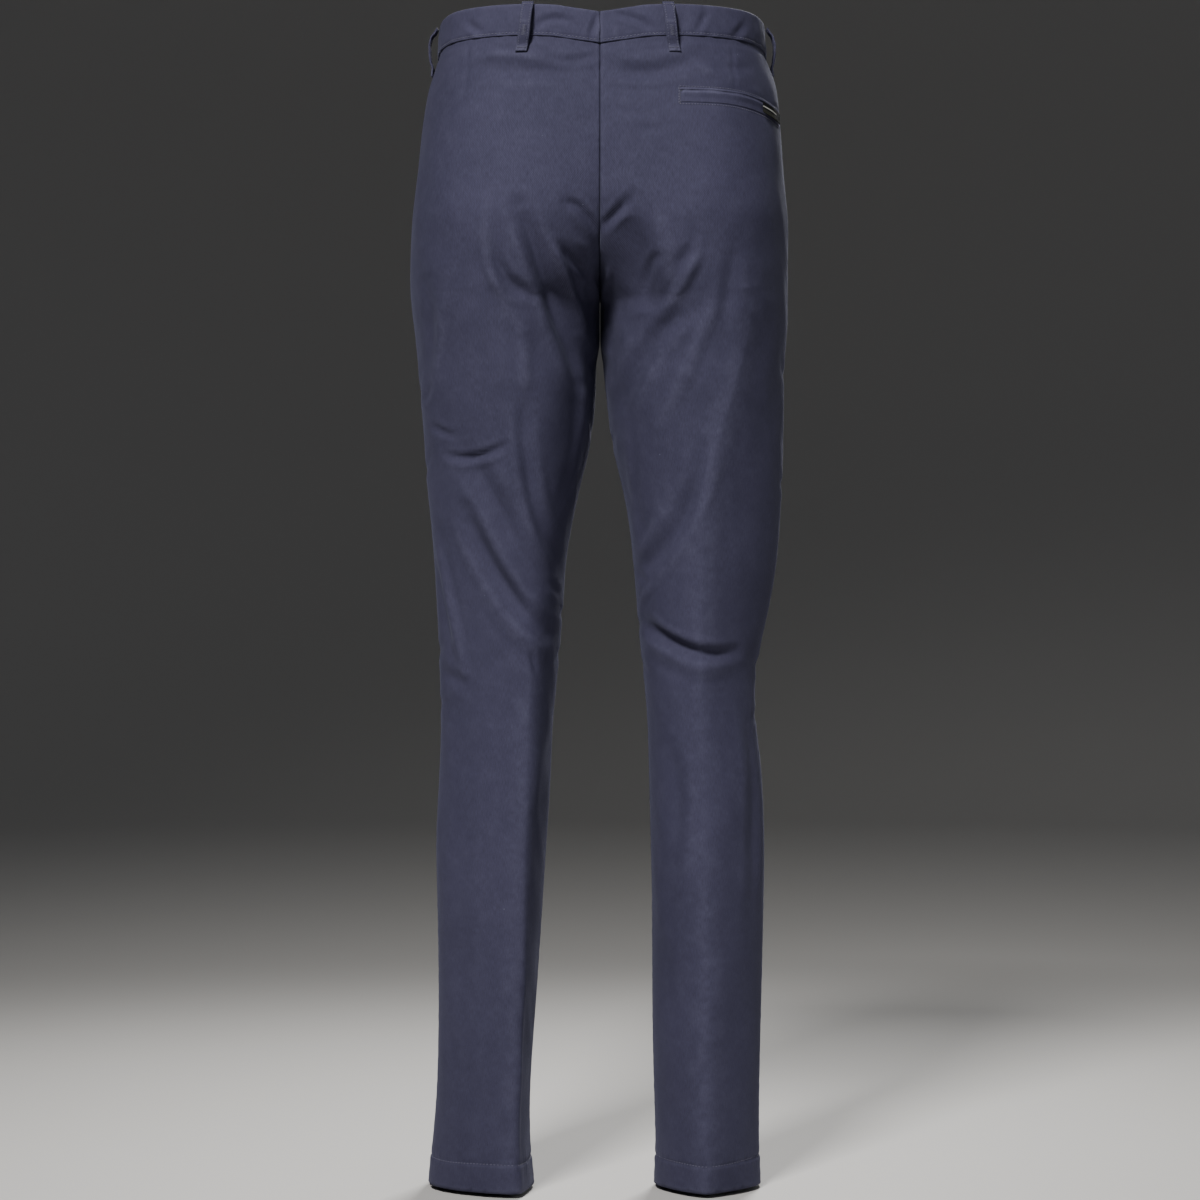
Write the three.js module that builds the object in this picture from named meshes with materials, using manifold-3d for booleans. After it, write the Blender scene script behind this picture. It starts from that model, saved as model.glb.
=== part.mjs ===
// Slim chino trousers in navy cotton twill, closed at the waist and filled out as if worn.
// Millimetres, +Z up. -Y is the wearer's front, +Y the back, +X the wearer's left.
// The origin is the centre of the waist, at the middle of the waistband's height at the sides.
import * as THREE from "three";
import { mergeVertices } from "three/addons/utils/BufferGeometryUtils.js";
import Module from "manifold-3d";

const wasm = await Module();
wasm.setup();

// Driving dimensions
const CLOTH = 1.6; // wall of one layer of twill, seams included
const SEAM = 0.3; // gap between two pieces that are sewn together
const BAND_TOP = 14.2;
const BAND_BOTTOM = -14.2;
const BAND_WALL = 3.0; // two layers of cloth and the stiffening between them
const BAND_PROUD = 1.0; // how far the band's face stands out from the panels
const CROTCH_Z = -237;
const HEM_Z = -1036;
const HEM_DEPTH = 25;
const HEM_WALL = 2.8; // cloth turned up inside
const POCKET_MOUTH = 2.9; // columns of cloth from the side seam to the slanted pocket at the waist
const POCKET_END_Z = -176; // where the pocket's mouth meets the side seam
const POCKET_UNDERLAP = 0.8; // columns that the facing runs on under the front
const FLY_LENGTH = 150;
const LOOP_WIDTH = 10.5;
const LOOP_WALL = 1.8;
const LOOP_SLACK = 6.2; // room for a belt between loop and band
const LOOP_TOP = 15.6;
const LOOP_END = -29;
const LOOP_X = { back: { L: 66, R: 62.5 }, front: { L: 58, R: 58 } }; // from the centre line

const NAVY = new THREE.Color(0x33344f);
const cloth = new THREE.MeshStandardMaterial({ color: NAVY, roughness: 0.85, metalness: 0 });
const clothBand = new THREE.MeshStandardMaterial({ color: 0x373853, roughness: 0.85, metalness: 0 });
const tabRubber = new THREE.MeshStandardMaterial({ color: 0x24262a, roughness: 0.6, metalness: 0 });
const horn = new THREE.MeshStandardMaterial({ color: 0x1b1c2b, roughness: 0.35, metalness: 0 });
const zipTape = new THREE.MeshStandardMaterial({ color: 0x22233a, roughness: 0.9, metalness: 0 });
const zipMetal = new THREE.MeshStandardMaterial({ color: 0x8a8478, roughness: 0.35, metalness: 0.9 });

// Outline from behind, as distances from the centre line. Each row is one level cross-section.
// outer: silhouette at the side seam. inner: silhouette at the inseam, below the crotch.
// crease: where the back stands out most, which is the pressed crease from the thigh down.
// fore: the same on the front, further out on the left leg because that leg is turned outwards.
const OUTLINE = {
  columns: ["z", "outerL", "innerL", "creaseL", "foreL", "outerR", "innerR", "creaseR", "foreR"],
  rows: [
    [15, 145, 0, 45, 45, 149, 0, 45, 45],
    [-15, 147, 0, 48, 48, 151, 0, 48, 48],
    [-37, 153, 0, 53, 54, 158, 0, 53, 54],
    [-55, 158, 0, 58, 60, 162, 0, 58, 60],
    [-110, 164, 0, 70, 72, 166, 0, 70, 72],
    [-146, 168, 0, 76, 79, 169, 0, 77, 78],
    [-182, 172, 0, 79, 83, 171, 0, 82, 82],
    [-220, 173, 0, 80, 86, 171, 0, 85, 85],
    [-237, 172, 0.3, 79, 88, 171, 0.3, 86, 87],
    [-255, 170, 1, 78, 90, 171, 1, 87, 88],
    [-290, 166, 3, 73, 94, 168, 2, 88, 90],
    [-328, 163, 4, 67, 97, 167, 6, 90, 92],
    [-364, 160, 8, 66, 100, 167, 10, 92, 94],
    [-400, 158, 17, 66, 103, 166, 19, 92, 96],
    [-437, 154, 25, 65, 106, 164, 26, 92, 97],
    [-474, 151, 31, 64, 109, 161, 30, 91, 98],
    [-510, 149, 33, 62, 112, 155, 33, 90, 98],
    [-546, 147, 36, 61, 115, 147, 36, 89, 98],
    [-583, 146, 39, 60, 117, 141, 40, 89, 98],
    [-620, 145, 43, 62, 120, 142, 43, 90, 99],
    [-656, 146, 44, 63, 123, 147, 44, 91, 100],
    [-737, 150, 49, 68, 128, 150, 46, 93, 102],
    [-783, 148, 52, 69, 129, 149, 47, 93, 102],
    [-874, 147, 58, 72, 131, 147, 47, 94, 102],
    [-965, 149, 64, 74, 134, 145, 49, 94, 102],
    [-1001, 153, 63, 75, 136, 145, 50, 93, 102],
    [-1036, 156, 60, 75, 137, 146, 49, 93, 102],
  ],
};

// Side view of a general figure: how far the back and the front stand out, and where the side
// seam and the inseam lie between them.
const PROFILE = {
  columns: ["z", "back", "front", "side", "inseam"],
  rows: [
    [15, 107, -107, 0, 0],
    [-15, 109, -110, 0, 0],
    [-55, 117, -112, 0, 0],
    [-110, 128, -112, 0, 0],
    [-170, 133, -109, 0, -8],
    [-237, 124, -105.5, 0, -15],
    [-291, 110, -102.5, 0, -13],
    [-340, 100, -100, 0, -11],
    [-401, 91, -96, 0, -9],
    [-474, 79, -90, 0, -6],
    [-546, 69, -84, -2, -5],
    [-600, 64, -80, -3, -5],
    [-656, 66, -77, -2, -4],
    [-737, 70, -73, 0, -2],
    [-874, 68, -67, 0, 0],
    [-1036, 66, -63, 0, 0],
  ],
};

// The centre seam seen from the side, behind and in front, down to where the two meet under the
// crotch. Above it a section is the leg's tube, cut off at the centre where it meets the other.
const CENTRE_SEAM = {
  columns: ["z", "seat", "rise"],
  rows: [
    [15, 107, -107],
    [-15, 109, -110],
    [-55, 117, -112],
    [-110, 126, -111],
    [-150, 124, -107],
    [-180, 112, -97],
    [-202, 87, -80],
    [-216, 58, -61],
    [-226, 28, -41],
    [-232, 6, -28],
    [-235.4, -8, -19],
    [-237, -15, -15],
  ],
};

// How sharp the pressed creases are, from 0, round, to 1, a corner, on each side of the line.
const CREASES = {
  columns: ["z", "outL", "inL", "outR", "inR", "fore"],
  rows: [
    [15, 0, 0, 0, 0, 0],
    [-291, 0, 0, 0, 0, 0],
    [-364, 0.1, 0.25, 0.3, 0.15, 0.25],
    [-437, 0.1, 0.35, 0.6, 0.3, 0.45],
    [-546, 0.05, 0.5, 0.65, 0.35, 0.55],
    [-619, 0.1, 0.6, 0.35, 0.25, 0.5],
    [-737, 0.15, 0.8, 0.35, 0.3, 0.55],
    [-874, 0.2, 0.95, 0.6, 0.6, 0.7],
    [-1039, 0.2, 1, 0.85, 0.85, 0.8],
  ],
};

// How far the waist seam and the band lie above or below level, by the angle round from the
// centre back. The waist sits lower in front.
const WAISTLINE = {
  columns: ["angle", "lift"],
  rows: [
    [180, -15],
    [150, -12.5],
    [120, -8],
    [100, -4.5],
    [88, -2],
    [76, 1],
    [62, 3],
    [36, 3],
    [22, 2],
    [12, -1],
    [0, -4],
  ],
};

// The largest folds. Each is a soft trough (depth below 0) or ridge along a curve through three
// places on the back or the front, given as distance from the centre line and height.
const FOLDS = {
  columns: ["side", "face", "x1", "z1", "x2", "z2", "x3", "z3", "half", "depth"],
  rows: [
    ["L", "back", 54, -198, 38, -240, 16, -286, 13, -5],
    ["L", "back", 18, -282, 21, -343, 23, -395, 12, -4],
    ["L", "back", 36, -190, 24, -228, 9, -262, 10, 3],
    ["L", "back", 100, -182, 88, -215, 70, -245, 17, -4],
    ["L", "back", 30, -166, 18, -178, 4, -189, 11, -3],
    ["L", "back", 110, -46, 60, -47, 8, -54, 15, -2.5],
    ["L", "back", 140, -380, 112, -381, 86, -372, 11, -3],
    ["L", "back", 96, -405, 75, -450, 62, -490, 13, -3.5],
    ["L", "back", 112, -430, 88, -500, 52, -538, 13, -5],
    ["L", "back", 66, -383, 60, -435, 33, -493, 12, -3.5],
    ["L", "back", 112, -532, 92, -552, 60, -566, 13, -2.5],
    ["L", "back", 146, -460, 134, -503, 119, -575, 10, 2.5],
    ["R", "back", 30, -163, 18, -175, 4, -186, 11, -3],
    ["R", "back", 12, -198, 32, -208, 56, -216, 22, -5],
    ["R", "back", 88, -215, 82, -245, 66, -275, 16, -3],
    ["R", "back", 54, -281, 26, -300, 14, -366, 14, -4.5],
    ["R", "back", 134, -262, 118, -330, 93, -402, 14, 3],
    ["R", "back", 104, -270, 94, -330, 72, -376, 13, -2.5],
    ["R", "back", 6, -44, 40, -50, 86, -44, 14, -2.5],
    ["R", "back", 84, -383, 64, -430, 34, -487, 13, -4.5],
    ["R", "back", 44, -535, 80, -562, 113, -559, 12, -5.5],
    ["L", "front", 8, -214, 42, -205, 98, -172, 12, -2.5],
    ["L", "front", 14, -238, 54, -232, 108, -204, 12, -2],
    ["L", "front", 26, -268, 62, -274, 112, -262, 14, -2],
    ["L", "front", 64, -518, 100, -536, 138, -526, 13, -2.5],
    ["L", "front", 62, -606, 98, -594, 136, -608, 12, -2],
    ["R", "front", 8, -212, 44, -206, 92, -178, 12, -2.5],
    ["R", "front", 14, -236, 58, -234, 112, -210, 12, -2],
    ["R", "front", 24, -272, 66, -276, 118, -270, 14, -2],
    ["R", "front", 56, -530, 92, -546, 132, -530, 13, -2.5],
    ["R", "front", 58, -614, 92, -600, 128, -612, 12, -2],
  ],
};

// Heights of the panels' cross-sections, closer together where the crotch curves in.
const LEVELS = [
  BAND_BOTTOM, -24, -36, -50, -66, -84, -104, -126, -148, -168, -186, -202, -214, -223, -230, -235,
  CROTCH_Z, -245, -256, -270, -288, -308, -330, -354, -378, -402, -426, -448, -470, -492, -514, -536,
  -556, -576, -598, -622, -650, -684, -724, -768, -814, -862, -910, -956, -992,
  HEM_Z + HEM_DEPTH, HEM_Z + HEM_DEPTH - 1.5, HEM_Z,
];

// Columns of a section, from the back's inner edge round the side to the front's inner edge.
const QUARTERS = [5, 8, 8, 5];
const SIDE_SEAM = QUARTERS[0] + QUARTERS[1];
const LAST = SIDE_SEAM + QUARTERS[2] + QUARTERS[3];

const smooth = (low, high, v) => THREE.MathUtils.smoothstep(v, low, high);
const range = (from, to, steps) => Array.from({ length: steps + 1 }, (_, i) => from + ((to - from) * i) / steps);

// A table's column at a place along its first column, on a smooth curve that never overshoots.
function read(table, column, at) {
  const { columns, rows } = table;
  const k = columns.indexOf(column);
  const n = rows.length - 1;
  const falling = (i) => (rows[i + 1][k] - rows[i][k]) / (rows[i + 1][0] - rows[i][0]);
  const slope = (i) => {
    if (i === 0) return falling(0);
    if (i === n) return falling(n - 1);
    const a = falling(i - 1);
    const b = falling(i);
    return a * b > 0 ? (2 * a * b) / (a + b) : 0;
  };
  if (at >= rows[0][0]) return rows[0][k];
  if (at <= rows[n][0]) return rows[n][k];
  const i = rows.findIndex((row, j) => j < n && at <= row[0] && at >= rows[j + 1][0]);
  const span = rows[i + 1][0] - rows[i][0];
  const t = (at - rows[i][0]) / span;
  const [t2, t3] = [t * t, t * t * t];
  return (
    rows[i][k] * (2 * t3 - 3 * t2 + 1) +
    slope(i) * span * (t3 - 2 * t2 + t) +
    rows[i + 1][k] * (3 * t2 - 2 * t3) +
    slope(i + 1) * span * (t3 - t2)
  );
}

// The four curves of one side's section at a height, from the back's inner edge to the front's.
// Distances are measured from the centre line, so both sides come out at positive x.
const sections = new Map();
function section(side, z) {
  const key = side + z.toFixed(3);
  if (sections.has(key)) return sections.get(key);
  const ROUND = 0.5523; // handle of a quarter ellipse
  const FULL = 1 + 0.14 * smooth(-330, -120, z); // hips are squarer than an ellipse
  const out = (name) => read(OUTLINE, name + side, z);
  const body = (name) => read(PROFILE, name, z);
  const centre = (name) => read(CENTRE_SEAM, name, z);
  const sharp = (name) => 1 - read(CREASES, name, z);
  const above = z > CROTCH_Z;
  const at = (x, y) => new THREE.Vector2(x, y);
  const edge = at(out("outer"), body("side"));
  const curves = [];
  const half = (crestX, crestY, seamY, outSharp, inSharp) => {
    const crest = at(crestX, crestY);
    const end = above ? at(0, seamY) : at(out("inner"), body("inseam"));
    const deep = crestY - body("inseam");
    const cut = above ? Math.min(0.995, (seamY - body("inseam")) / deep) : 0; // share of the tube cut off
    const left = Math.sqrt(1 - cut * cut);
    const wide = (crestX - end.x) / left;
    const handle = (4 / 3) * Math.tan((Math.PI / 2 - Math.asin(cut)) / 4);
    const inner = new THREE.CubicBezierCurve(
      end,
      at(end.x + handle * wide * cut, end.y + handle * deep * left),
      at(crest.x - handle * wide * inSharp, crest.y),
      crest,
    );
    const outer = new THREE.CubicBezierCurve(
      crest,
      at(crest.x + ROUND * FULL * outSharp * (edge.x - crest.x), crest.y),
      at(edge.x, edge.y + ROUND * FULL * (crest.y - edge.y)),
      edge,
    );
    return [inner, outer];
  };
  const [backSharp, foreSharp] = [[sharp("out" + side), sharp("in" + side)], [sharp("fore"), sharp("fore")]];
  const [backIn, backOut] = half(out("crease"), body("back"), centre("seat"), ...backSharp);
  const [foreIn, foreOut] = half(out("fore"), body("front"), centre("rise"), ...foreSharp);
  curves.push([backIn, false], [backOut, false], [foreOut, true], [foreIn, true]);
  sections.set(key, curves);
  return curves;
}

// A point on the section, by its column, which may be a fraction.
function onSection(side, column, z) {
  let q = 0;
  let c = THREE.MathUtils.clamp(column, 0, LAST);
  while (q < 3 && c > QUARTERS[q]) c -= QUARTERS[q++];
  const [curve, reversed] = section(side, z)[q];
  const t = c / QUARTERS[q];
  return curve.getPointAt(reversed ? 1 - t : t);
}

// How far the folds move a place on the cloth in or out.
function foldDepth(side, face, x, z) {
  let sum = 0;
  for (const [s, f, x1, z1, x2, z2, x3, z3, half, depth] of FOLDS.rows) {
    if (s !== side || f !== face) continue;
    if (z > Math.max(z1, z2, z3) + 2 * half || z < Math.min(z1, z2, z3) - 2 * half) continue;
    const STEPS = 16;
    let near = Infinity;
    let along = 0;
    for (let i = 0; i <= STEPS; i++) {
      const t = i / STEPS;
      const mid = 2 * t * (1 - t);
      const cx = (1 - t) ** 2 * x1 + mid * (2 * x2 - (x1 + x3) / 2) + t * t * x3;
      const cz = (1 - t) ** 2 * z1 + mid * (2 * z2 - (z1 + z3) / 2) + t * t * z3;
      const d = Math.hypot(x - cx, z - cz);
      if (d < near) [near, along] = [d, t];
    }
    const taper = Math.sin(Math.PI * THREE.MathUtils.clamp(along, 0.06, 0.94)) ** 0.7;
    const core = Math.cos((Math.PI / 2) * Math.min(1, near / half)) ** 2;
    const rim = Math.cos((Math.PI / 2) * Math.min(1, Math.abs(near - 1.4 * half) / (0.6 * half))) ** 2;
    sum += depth * taper * (core - 0.22 * rim);
  }
  return sum;
}

// A point of the cloth's outer face. Both sides come out at positive x.
function clothPoint(side, column, z) {
  const p = onSection(side, column, z);
  const EPS = 0.02;
  const a = onSection(side, column - EPS, z);
  const b = onSection(side, column + EPS, z);
  const out = new THREE.Vector2(-(b.y - a.y), b.x - a.x).normalize();
  if (column > 0 && column < LAST) {
    const face = column < SIDE_SEAM ? "back" : "front";
    const facing = smooth(0.05, 0.5, Math.abs(out.y)) * smooth(0, 12, z > CROTCH_Z ? p.x : 12);
    const depth = foldDepth(side, face, p.x, z) * facing;
    p.addScaledVector(out, depth);
  }
  const angle = THREE.MathUtils.radToDeg(Math.atan2(p.x, p.y));
  const lift = read(WAISTLINE, "lift", angle) * smooth(-95, BAND_BOTTOM, z);
  return new THREE.Vector3(Math.max(p.x, 0), p.y, z + lift);
}

// The cloth's outward direction at that point.
function clothNormal(side, column, z) {
  const closed = z <= CROTCH_Z && (column <= 0 || column >= LAST);
  const EPS = 0.05;
  const a = closed ? clothPoint(side, LAST - EPS, z) : clothPoint(side, Math.max(0, column - EPS), z);
  const b = closed ? clothPoint(side, EPS, z) : clothPoint(side, Math.min(LAST, column + EPS), z);
  const RISE = z > CROTCH_Z ? Math.min(1, (z - CROTCH_Z) / 2) : 1;
  const up = clothPoint(side, column, z + (z > CROTCH_Z ? RISE : 0));
  const down = clothPoint(side, column, z - RISE);
  const round = b.sub(a);
  return round.cross(up.sub(down)).normalize().negate();
}

// The way from the outer face to the inner one, for a wall 1 mm thick. At the centre seams it
// stays in the plane between the two legs, and is longer where the cloth dives in.
function inward(side, column, z) {
  const n = clothNormal(side, column, z);
  const onCentre = column <= 0 || column >= LAST;
  if (!onCentre || z < CROTCH_Z) return n.negate();
  if (z === CROTCH_Z) return new THREE.Vector3(1, 0, 1);
  const STEP = Math.min(1.5, (z - CROTCH_Z) / 2);
  const run = clothPoint(side, column, z + STEP).sub(clothPoint(side, column, z - STEP));
  const toBack = column <= 0 ? 1 : -1;
  const m = new THREE.Vector3(0, -toBack * run.z, toBack * run.y).normalize();
  const MOST = 2.2;
  return m.multiplyScalar(Math.min(MOST, 1 / Math.max(0.01, -m.dot(n))));
}

// A closed wall between two grids of points of the same size, given in side space and put
// on the wearer's left (+1) or right (-1).
function wall(outer, inner, sign) {
  const rows = outer.length;
  const cols = outer[0].length;
  const positions = [];
  for (const grid of [outer, inner])
    for (const row of grid) for (const p of row) positions.push(sign * p.x, p.y, p.z);
  const o = (r, c) => r * cols + c;
  const i = (r, c) => rows * cols + r * cols + c;
  const index = [];
  const face = (a, b, c, d) => {
    if (sign > 0) index.push(a, b, c, a, c, d);
    else index.push(a, c, b, a, d, c);
  };
  for (let r = 0; r < rows - 1; r++)
    for (let c = 0; c < cols - 1; c++) {
      face(o(r, c), o(r, c + 1), o(r + 1, c + 1), o(r + 1, c));
      face(i(r, c), i(r + 1, c), i(r + 1, c + 1), i(r, c + 1));
    }
  for (let c = 0; c < cols - 1; c++) {
    face(o(0, c), i(0, c), i(0, c + 1), o(0, c + 1));
    face(o(rows - 1, c), o(rows - 1, c + 1), i(rows - 1, c + 1), i(rows - 1, c));
  }
  for (let r = 0; r < rows - 1; r++) {
    face(o(r, 0), o(r + 1, 0), i(r + 1, 0), i(r, 0));
    face(o(r, cols - 1), i(r, cols - 1), i(r + 1, cols - 1), o(r + 1, cols - 1));
  }
  const geometry = new THREE.BufferGeometry();
  geometry.setAttribute("position", new THREE.Float32BufferAttribute(positions, 3));
  geometry.setIndex(index);
  return geometry;
}

// One panel of a leg between two columns, moved inwards by depth, with a wall of its own.
function panel(side, from, to, depth = 0) {
  const outer = [];
  const inner = [];
  for (const z of LEVELS) {
    const outerRow = [];
    const innerRow = [];
    for (let c = from; c <= to; c++) {
      const p = clothPoint(side, c, z);
      const way = inward(side, c, z);
      const inHem = z < HEM_Z + HEM_DEPTH;
      if (c === from || c === to) {
        const centre = (c === 0 || c === LAST) && z > CROTCH_Z;
        if (centre) p.x = SEAM / 2;
        else {
          const before = c === 0 ? LAST - 1 : c - 1;
          const after = c === LAST ? 1 : c + 1;
          const along = clothPoint(side, after, z).sub(clothPoint(side, before, z)).setZ(0).normalize();
          p.addScaledVector(along, (c === from ? SEAM : -SEAM) / 2);
          p.x = Math.max(p.x, SEAM / 2);
        }
      }
      if (z === BAND_BOTTOM) p.z -= SEAM;
      outerRow.push(p.clone().addScaledVector(way, depth));
      innerRow.push(p.clone().addScaledVector(way, depth + (inHem ? HEM_WALL : CLOTH)));
    }
    outer.push(outerRow);
    inner.push(innerRow);
  }
  return wall(outer, inner, side === "L" ? 1 : -1);
}

// A geometry to a solid that can be cut, and back.
function toSolid(geometry) {
  const bare = mergeVertices(geometry, 1e-4);
  return new wasm.Manifold(
    new wasm.Mesh({
      numProp: 3,
      vertProperties: new Float32Array(bare.attributes.position.array),
      triVerts: new Uint32Array(bare.index.array),
    }),
  );
}

function toGeometry(solid) {
  const mesh = solid.getMesh();
  const geometry = new THREE.BufferGeometry();
  geometry.setAttribute("position", new THREE.BufferAttribute(new Float32Array(mesh.vertProperties), 3));
  geometry.setIndex(new THREE.BufferAttribute(new Uint32Array(mesh.triVerts), 1));
  return geometry;
}

// The column at which a side's section has a given distance from the centre line.
function columnAt(side, face, x, z) {
  let [low, high] = face === "back" ? [0, SIDE_SEAM] : [LAST, SIDE_SEAM];
  for (let i = 0; i < 30; i++) {
    const mid = (low + high) / 2;
    if (clothPoint(side, mid, z).x < x) low = mid;
    else high = mid;
  }
  return (low + high) / 2;
}

// A point of the cloth as the panels are built, between their own points, moved out by lift.
const corners = new Map();
function corner(side, column, level) {
  const key = side + column + "," + level;
  if (!corners.has(key)) {
    const z = LEVELS[level];
    corners.set(key, [clothPoint(side, column, z), inward(side, column, z)]);
  }
  return corners.get(key);
}

function onPanel(side, column, z, lift) {
  const c = Math.min(Math.floor(column), LAST - 1);
  const level = LEVELS.findIndex((low, i) => i > 0 && z >= low); // above the top it runs on
  const u = column - c;
  const v = (LEVELS[level - 1] - z) / (LEVELS[level - 1] - LEVELS[level]);
  const point = new THREE.Vector3();
  const add = (k, l, share) => {
    const [p, way] = corner(side, k, l);
    point.addScaledVector(p, share).addScaledVector(way, -lift * share);
  };
  add(c, level - 1, (1 - u) * (1 - v));
  add(c + 1, level - 1, u * (1 - v));
  add(c, level, (1 - u) * v);
  add(c + 1, level, u * v);
  return point;
}

// A slab through the front's corner outside the slanted pocket line, widened by more columns.
function pocketSlab(side, more) {
  const REACH = 8; // how far the slab stands out of the cloth on both sides
  const top = BAND_BOTTOM + 6;
  const bottom = POCKET_END_Z - (more > 0 ? 12 : 0);
  const slant = (z) => Math.max(0, (z - POCKET_END_Z) / (BAND_BOTTOM - POCKET_END_Z)) * POCKET_MOUTH;
  const zs = range(top, bottom, 12);
  const across = (z) => range(SIDE_SEAM - 1, SIDE_SEAM + slant(z) + more, 4);
  const at = (lift) => zs.map((z) => across(z).map((c) => onPanel(side, c, z, lift)));
  return toSolid(wall(at(REACH), at(-REACH), side === "L" ? 1 : -1));
}

// A front panel with its corner cut away along the pocket, and the facing that shows there.
function frontAndFacing(side) {
  const whole = toSolid(panel(side, SIDE_SEAM, LAST));
  const behind = toSolid(panel(side, SIDE_SEAM, LAST, CLOTH + SEAM));
  const front = whole.subtract(pocketSlab(side, 0));
  const facing = behind.intersect(pocketSlab(side, POCKET_UNDERLAP));
  return [toGeometry(front), toGeometry(facing)];
}

// The same by its place: x is the distance from the centre line, on the left where positive.
function onFace(face, x, z, lift) {
  const side = x >= 0 ? "L" : "R";
  const column = x === 0 ? (face === "back" ? 0 : LAST) : columnAt(side, face, Math.abs(x), z);
  const p = onPanel(side, column, z, lift);
  p.x = x === 0 ? 0 : p.x * Math.sign(x);
  return p;
}

// A strip that lies on the cloth: a grid of places (x, z) with the heights of both its faces.
function stripOn(face, grid, under, over) {
  const outer = grid.map((row) => row.map(([x, z]) => onFace(face, x, z, over(x, z))));
  const inner = grid.map((row) => row.map(([x, z]) => onFace(face, x, z, under(x, z))));
  return wall(outer, inner, 1);
}

// The waistband's face. Its section is the waist's, carried on the same columns as the panels.
function bandPoint(side, column, height, lift) {
  if (!Number.isInteger(column)) {
    const c = Math.floor(column);
    return bandPoint(side, c, height, lift).lerp(bandPoint(side, c + 1, height, lift), column - c);
  }
  const p = clothPoint(side, column, BAND_BOTTOM);
  const top = clothPoint(side, column, BAND_TOP);
  const share = (height - BAND_BOTTOM) / (BAND_TOP - BAND_BOTTOM);
  const level = p.z - BAND_BOTTOM;
  const point = new THREE.Vector3(p.x + (top.x - p.x) * share, p.y + (top.y - p.y) * share, height + level);
  const n = clothNormal(side, column, BAND_BOTTOM).setZ(0);
  if (column <= 0 || column >= LAST) n.x = 0;
  return point.addScaledVector(n.normalize(), lift);
}

// Half of the waistband, from the centre back to the front. The left half ends on top, just past
// the centre front. The right half steps in before it and runs on underneath.
const BAND_HEIGHTS = [BAND_TOP, 7, -7, BAND_BOTTOM];
const BAND_ROUNDING = [0.6, 0, 0, 0.3]; // the folded edges are thinner than the middle
const TAB_PAST_CENTRE = 3;
const UNDERLAP = 32;

function bandRow(side, column, extra = null) {
  const row = { outer: [], inner: [] };
  BAND_HEIGHTS.forEach((height, i) => {
    const face = BAND_PROUD - BAND_ROUNDING[i];
    const back = BAND_PROUD - BAND_WALL + BAND_ROUNDING[i];
    const step = extra ? extra.step : 0;
    const outer = bandPoint(side, column, height, face - step);
    const inner = bandPoint(side, column, height, back - step);
    if (extra && extra.mirror) [outer.x, inner.x] = [-outer.x, -inner.x];
    row.outer.push(outer);
    row.inner.push(inner);
  });
  return row;
}

function waistband(side) {
  const rows = [];
  const bandColumn = (x) => columnAt(side, "front", x, BAND_BOTTOM);
  const STEP_IN = BAND_WALL + SEAM;
  for (let c = 0; c < LAST - 1; c++) rows.push(bandRow(side, c));
  if (side === "L") {
    rows.push(bandRow(side, LAST - 1), bandRow(side, LAST));
    rows.push(bandRow("R", columnAt("R", "front", TAB_PAST_CENTRE, BAND_BOTTOM), { step: 0, mirror: true }));
  } else {
    for (const [x, share] of [[26, 0], [16, 0], [11, 0.5], [6, 1]])
      rows.push(bandRow(side, bandColumn(x), { step: STEP_IN * share, mirror: false }));
    rows.push(bandRow(side, LAST, { step: STEP_IN, mirror: false }));
    for (const x of [8, 20, UNDERLAP])
      rows.push(bandRow("L", columnAt("L", "front", x, BAND_BOTTOM), { step: STEP_IN, mirror: true }));
  }
  for (const grid of ["outer", "inner"]) rows[0][grid].forEach((p) => (p.x = SEAM / 2));
  const turned = (grid) => BAND_HEIGHTS.map((_, i) => rows.map((row) => row[grid][i]));
  return wall(turned("outer"), turned("inner"), side === "L" ? 1 : -1);
}

// A belt loop: a strap tacked at the band's top edge and below the band, bowed out between.
function beltLoop(side, column) {
  const slack = LOOP_SLACK;
  const profile = [
    [LOOP_TOP, 0], [LOOP_TOP - 3, 0.6], [LOOP_TOP - 7, 0.75 * slack], [2, slack],
    [-8, slack], [-17, 0.8 * slack], [-23, 0.5], [LOOP_END, 0],
  ];
  const middle = bandPoint(side, column, 0, 0);
  const next = bandPoint(side, column + 0.1, 0, 0);
  const along = next.sub(middle).setZ(0).normalize();
  const out = new THREE.Vector3(-along.y, along.x, 0);
  const place = (height, offset, across) => {
    const onBand = height > BAND_BOTTOM;
    const level = middle.z;
    const foot = onBand
      ? bandPoint(side, column, height, BAND_PROUD)
      : onPanel(side, column, height, 0).setZ(height + level);
    return foot.addScaledVector(out, offset).addScaledVector(along, across);
  };
  const lay = (extra) =>
    profile.map(([height, offset]) => {
      const base = height > BAND_BOTTOM || offset > 1 ? SEAM + 0.1 : SEAM + 0.5;
      return [-1, 0, 1].map((k) => place(height, base + offset + extra, (k * LOOP_WIDTH) / 2));
    });
  return wall(lay(LOOP_WALL), lay(0), side === "L" ? 1 : -1);
}

// The right hip's welt pocket: the welt lies on the panel and a small bare tab on its outer end.
const WELT = { inner: 71, outer: 160, top: -62, drop: 10, height: 10.5, lift: 0.7, wall: 1.2 };
const TAB = { inner: 143, outer: 159, inset: 0.6, lift: 0.3, wall: 0.8 };

function weltGrid(from, to, columns, insetTop, insetBottom) {
  // It runs level from its inner end and falls away towards the side.
  const top = (x) => WELT.top - WELT.drop * ((x - WELT.inner) / (WELT.outer - WELT.inner)) ** 4;
  const xs = range(from, to, columns);
  return range(insetTop, WELT.height - insetBottom, 4).map((down) =>
    xs.map((x) => [-x, top(x) - down]),
  );
}

function weltPocket() {
  const grid = weltGrid(WELT.outer, WELT.inner, 22, 0, 0);
  return stripOn("back", grid, () => WELT.lift, () => WELT.lift + WELT.wall);
}

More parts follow.
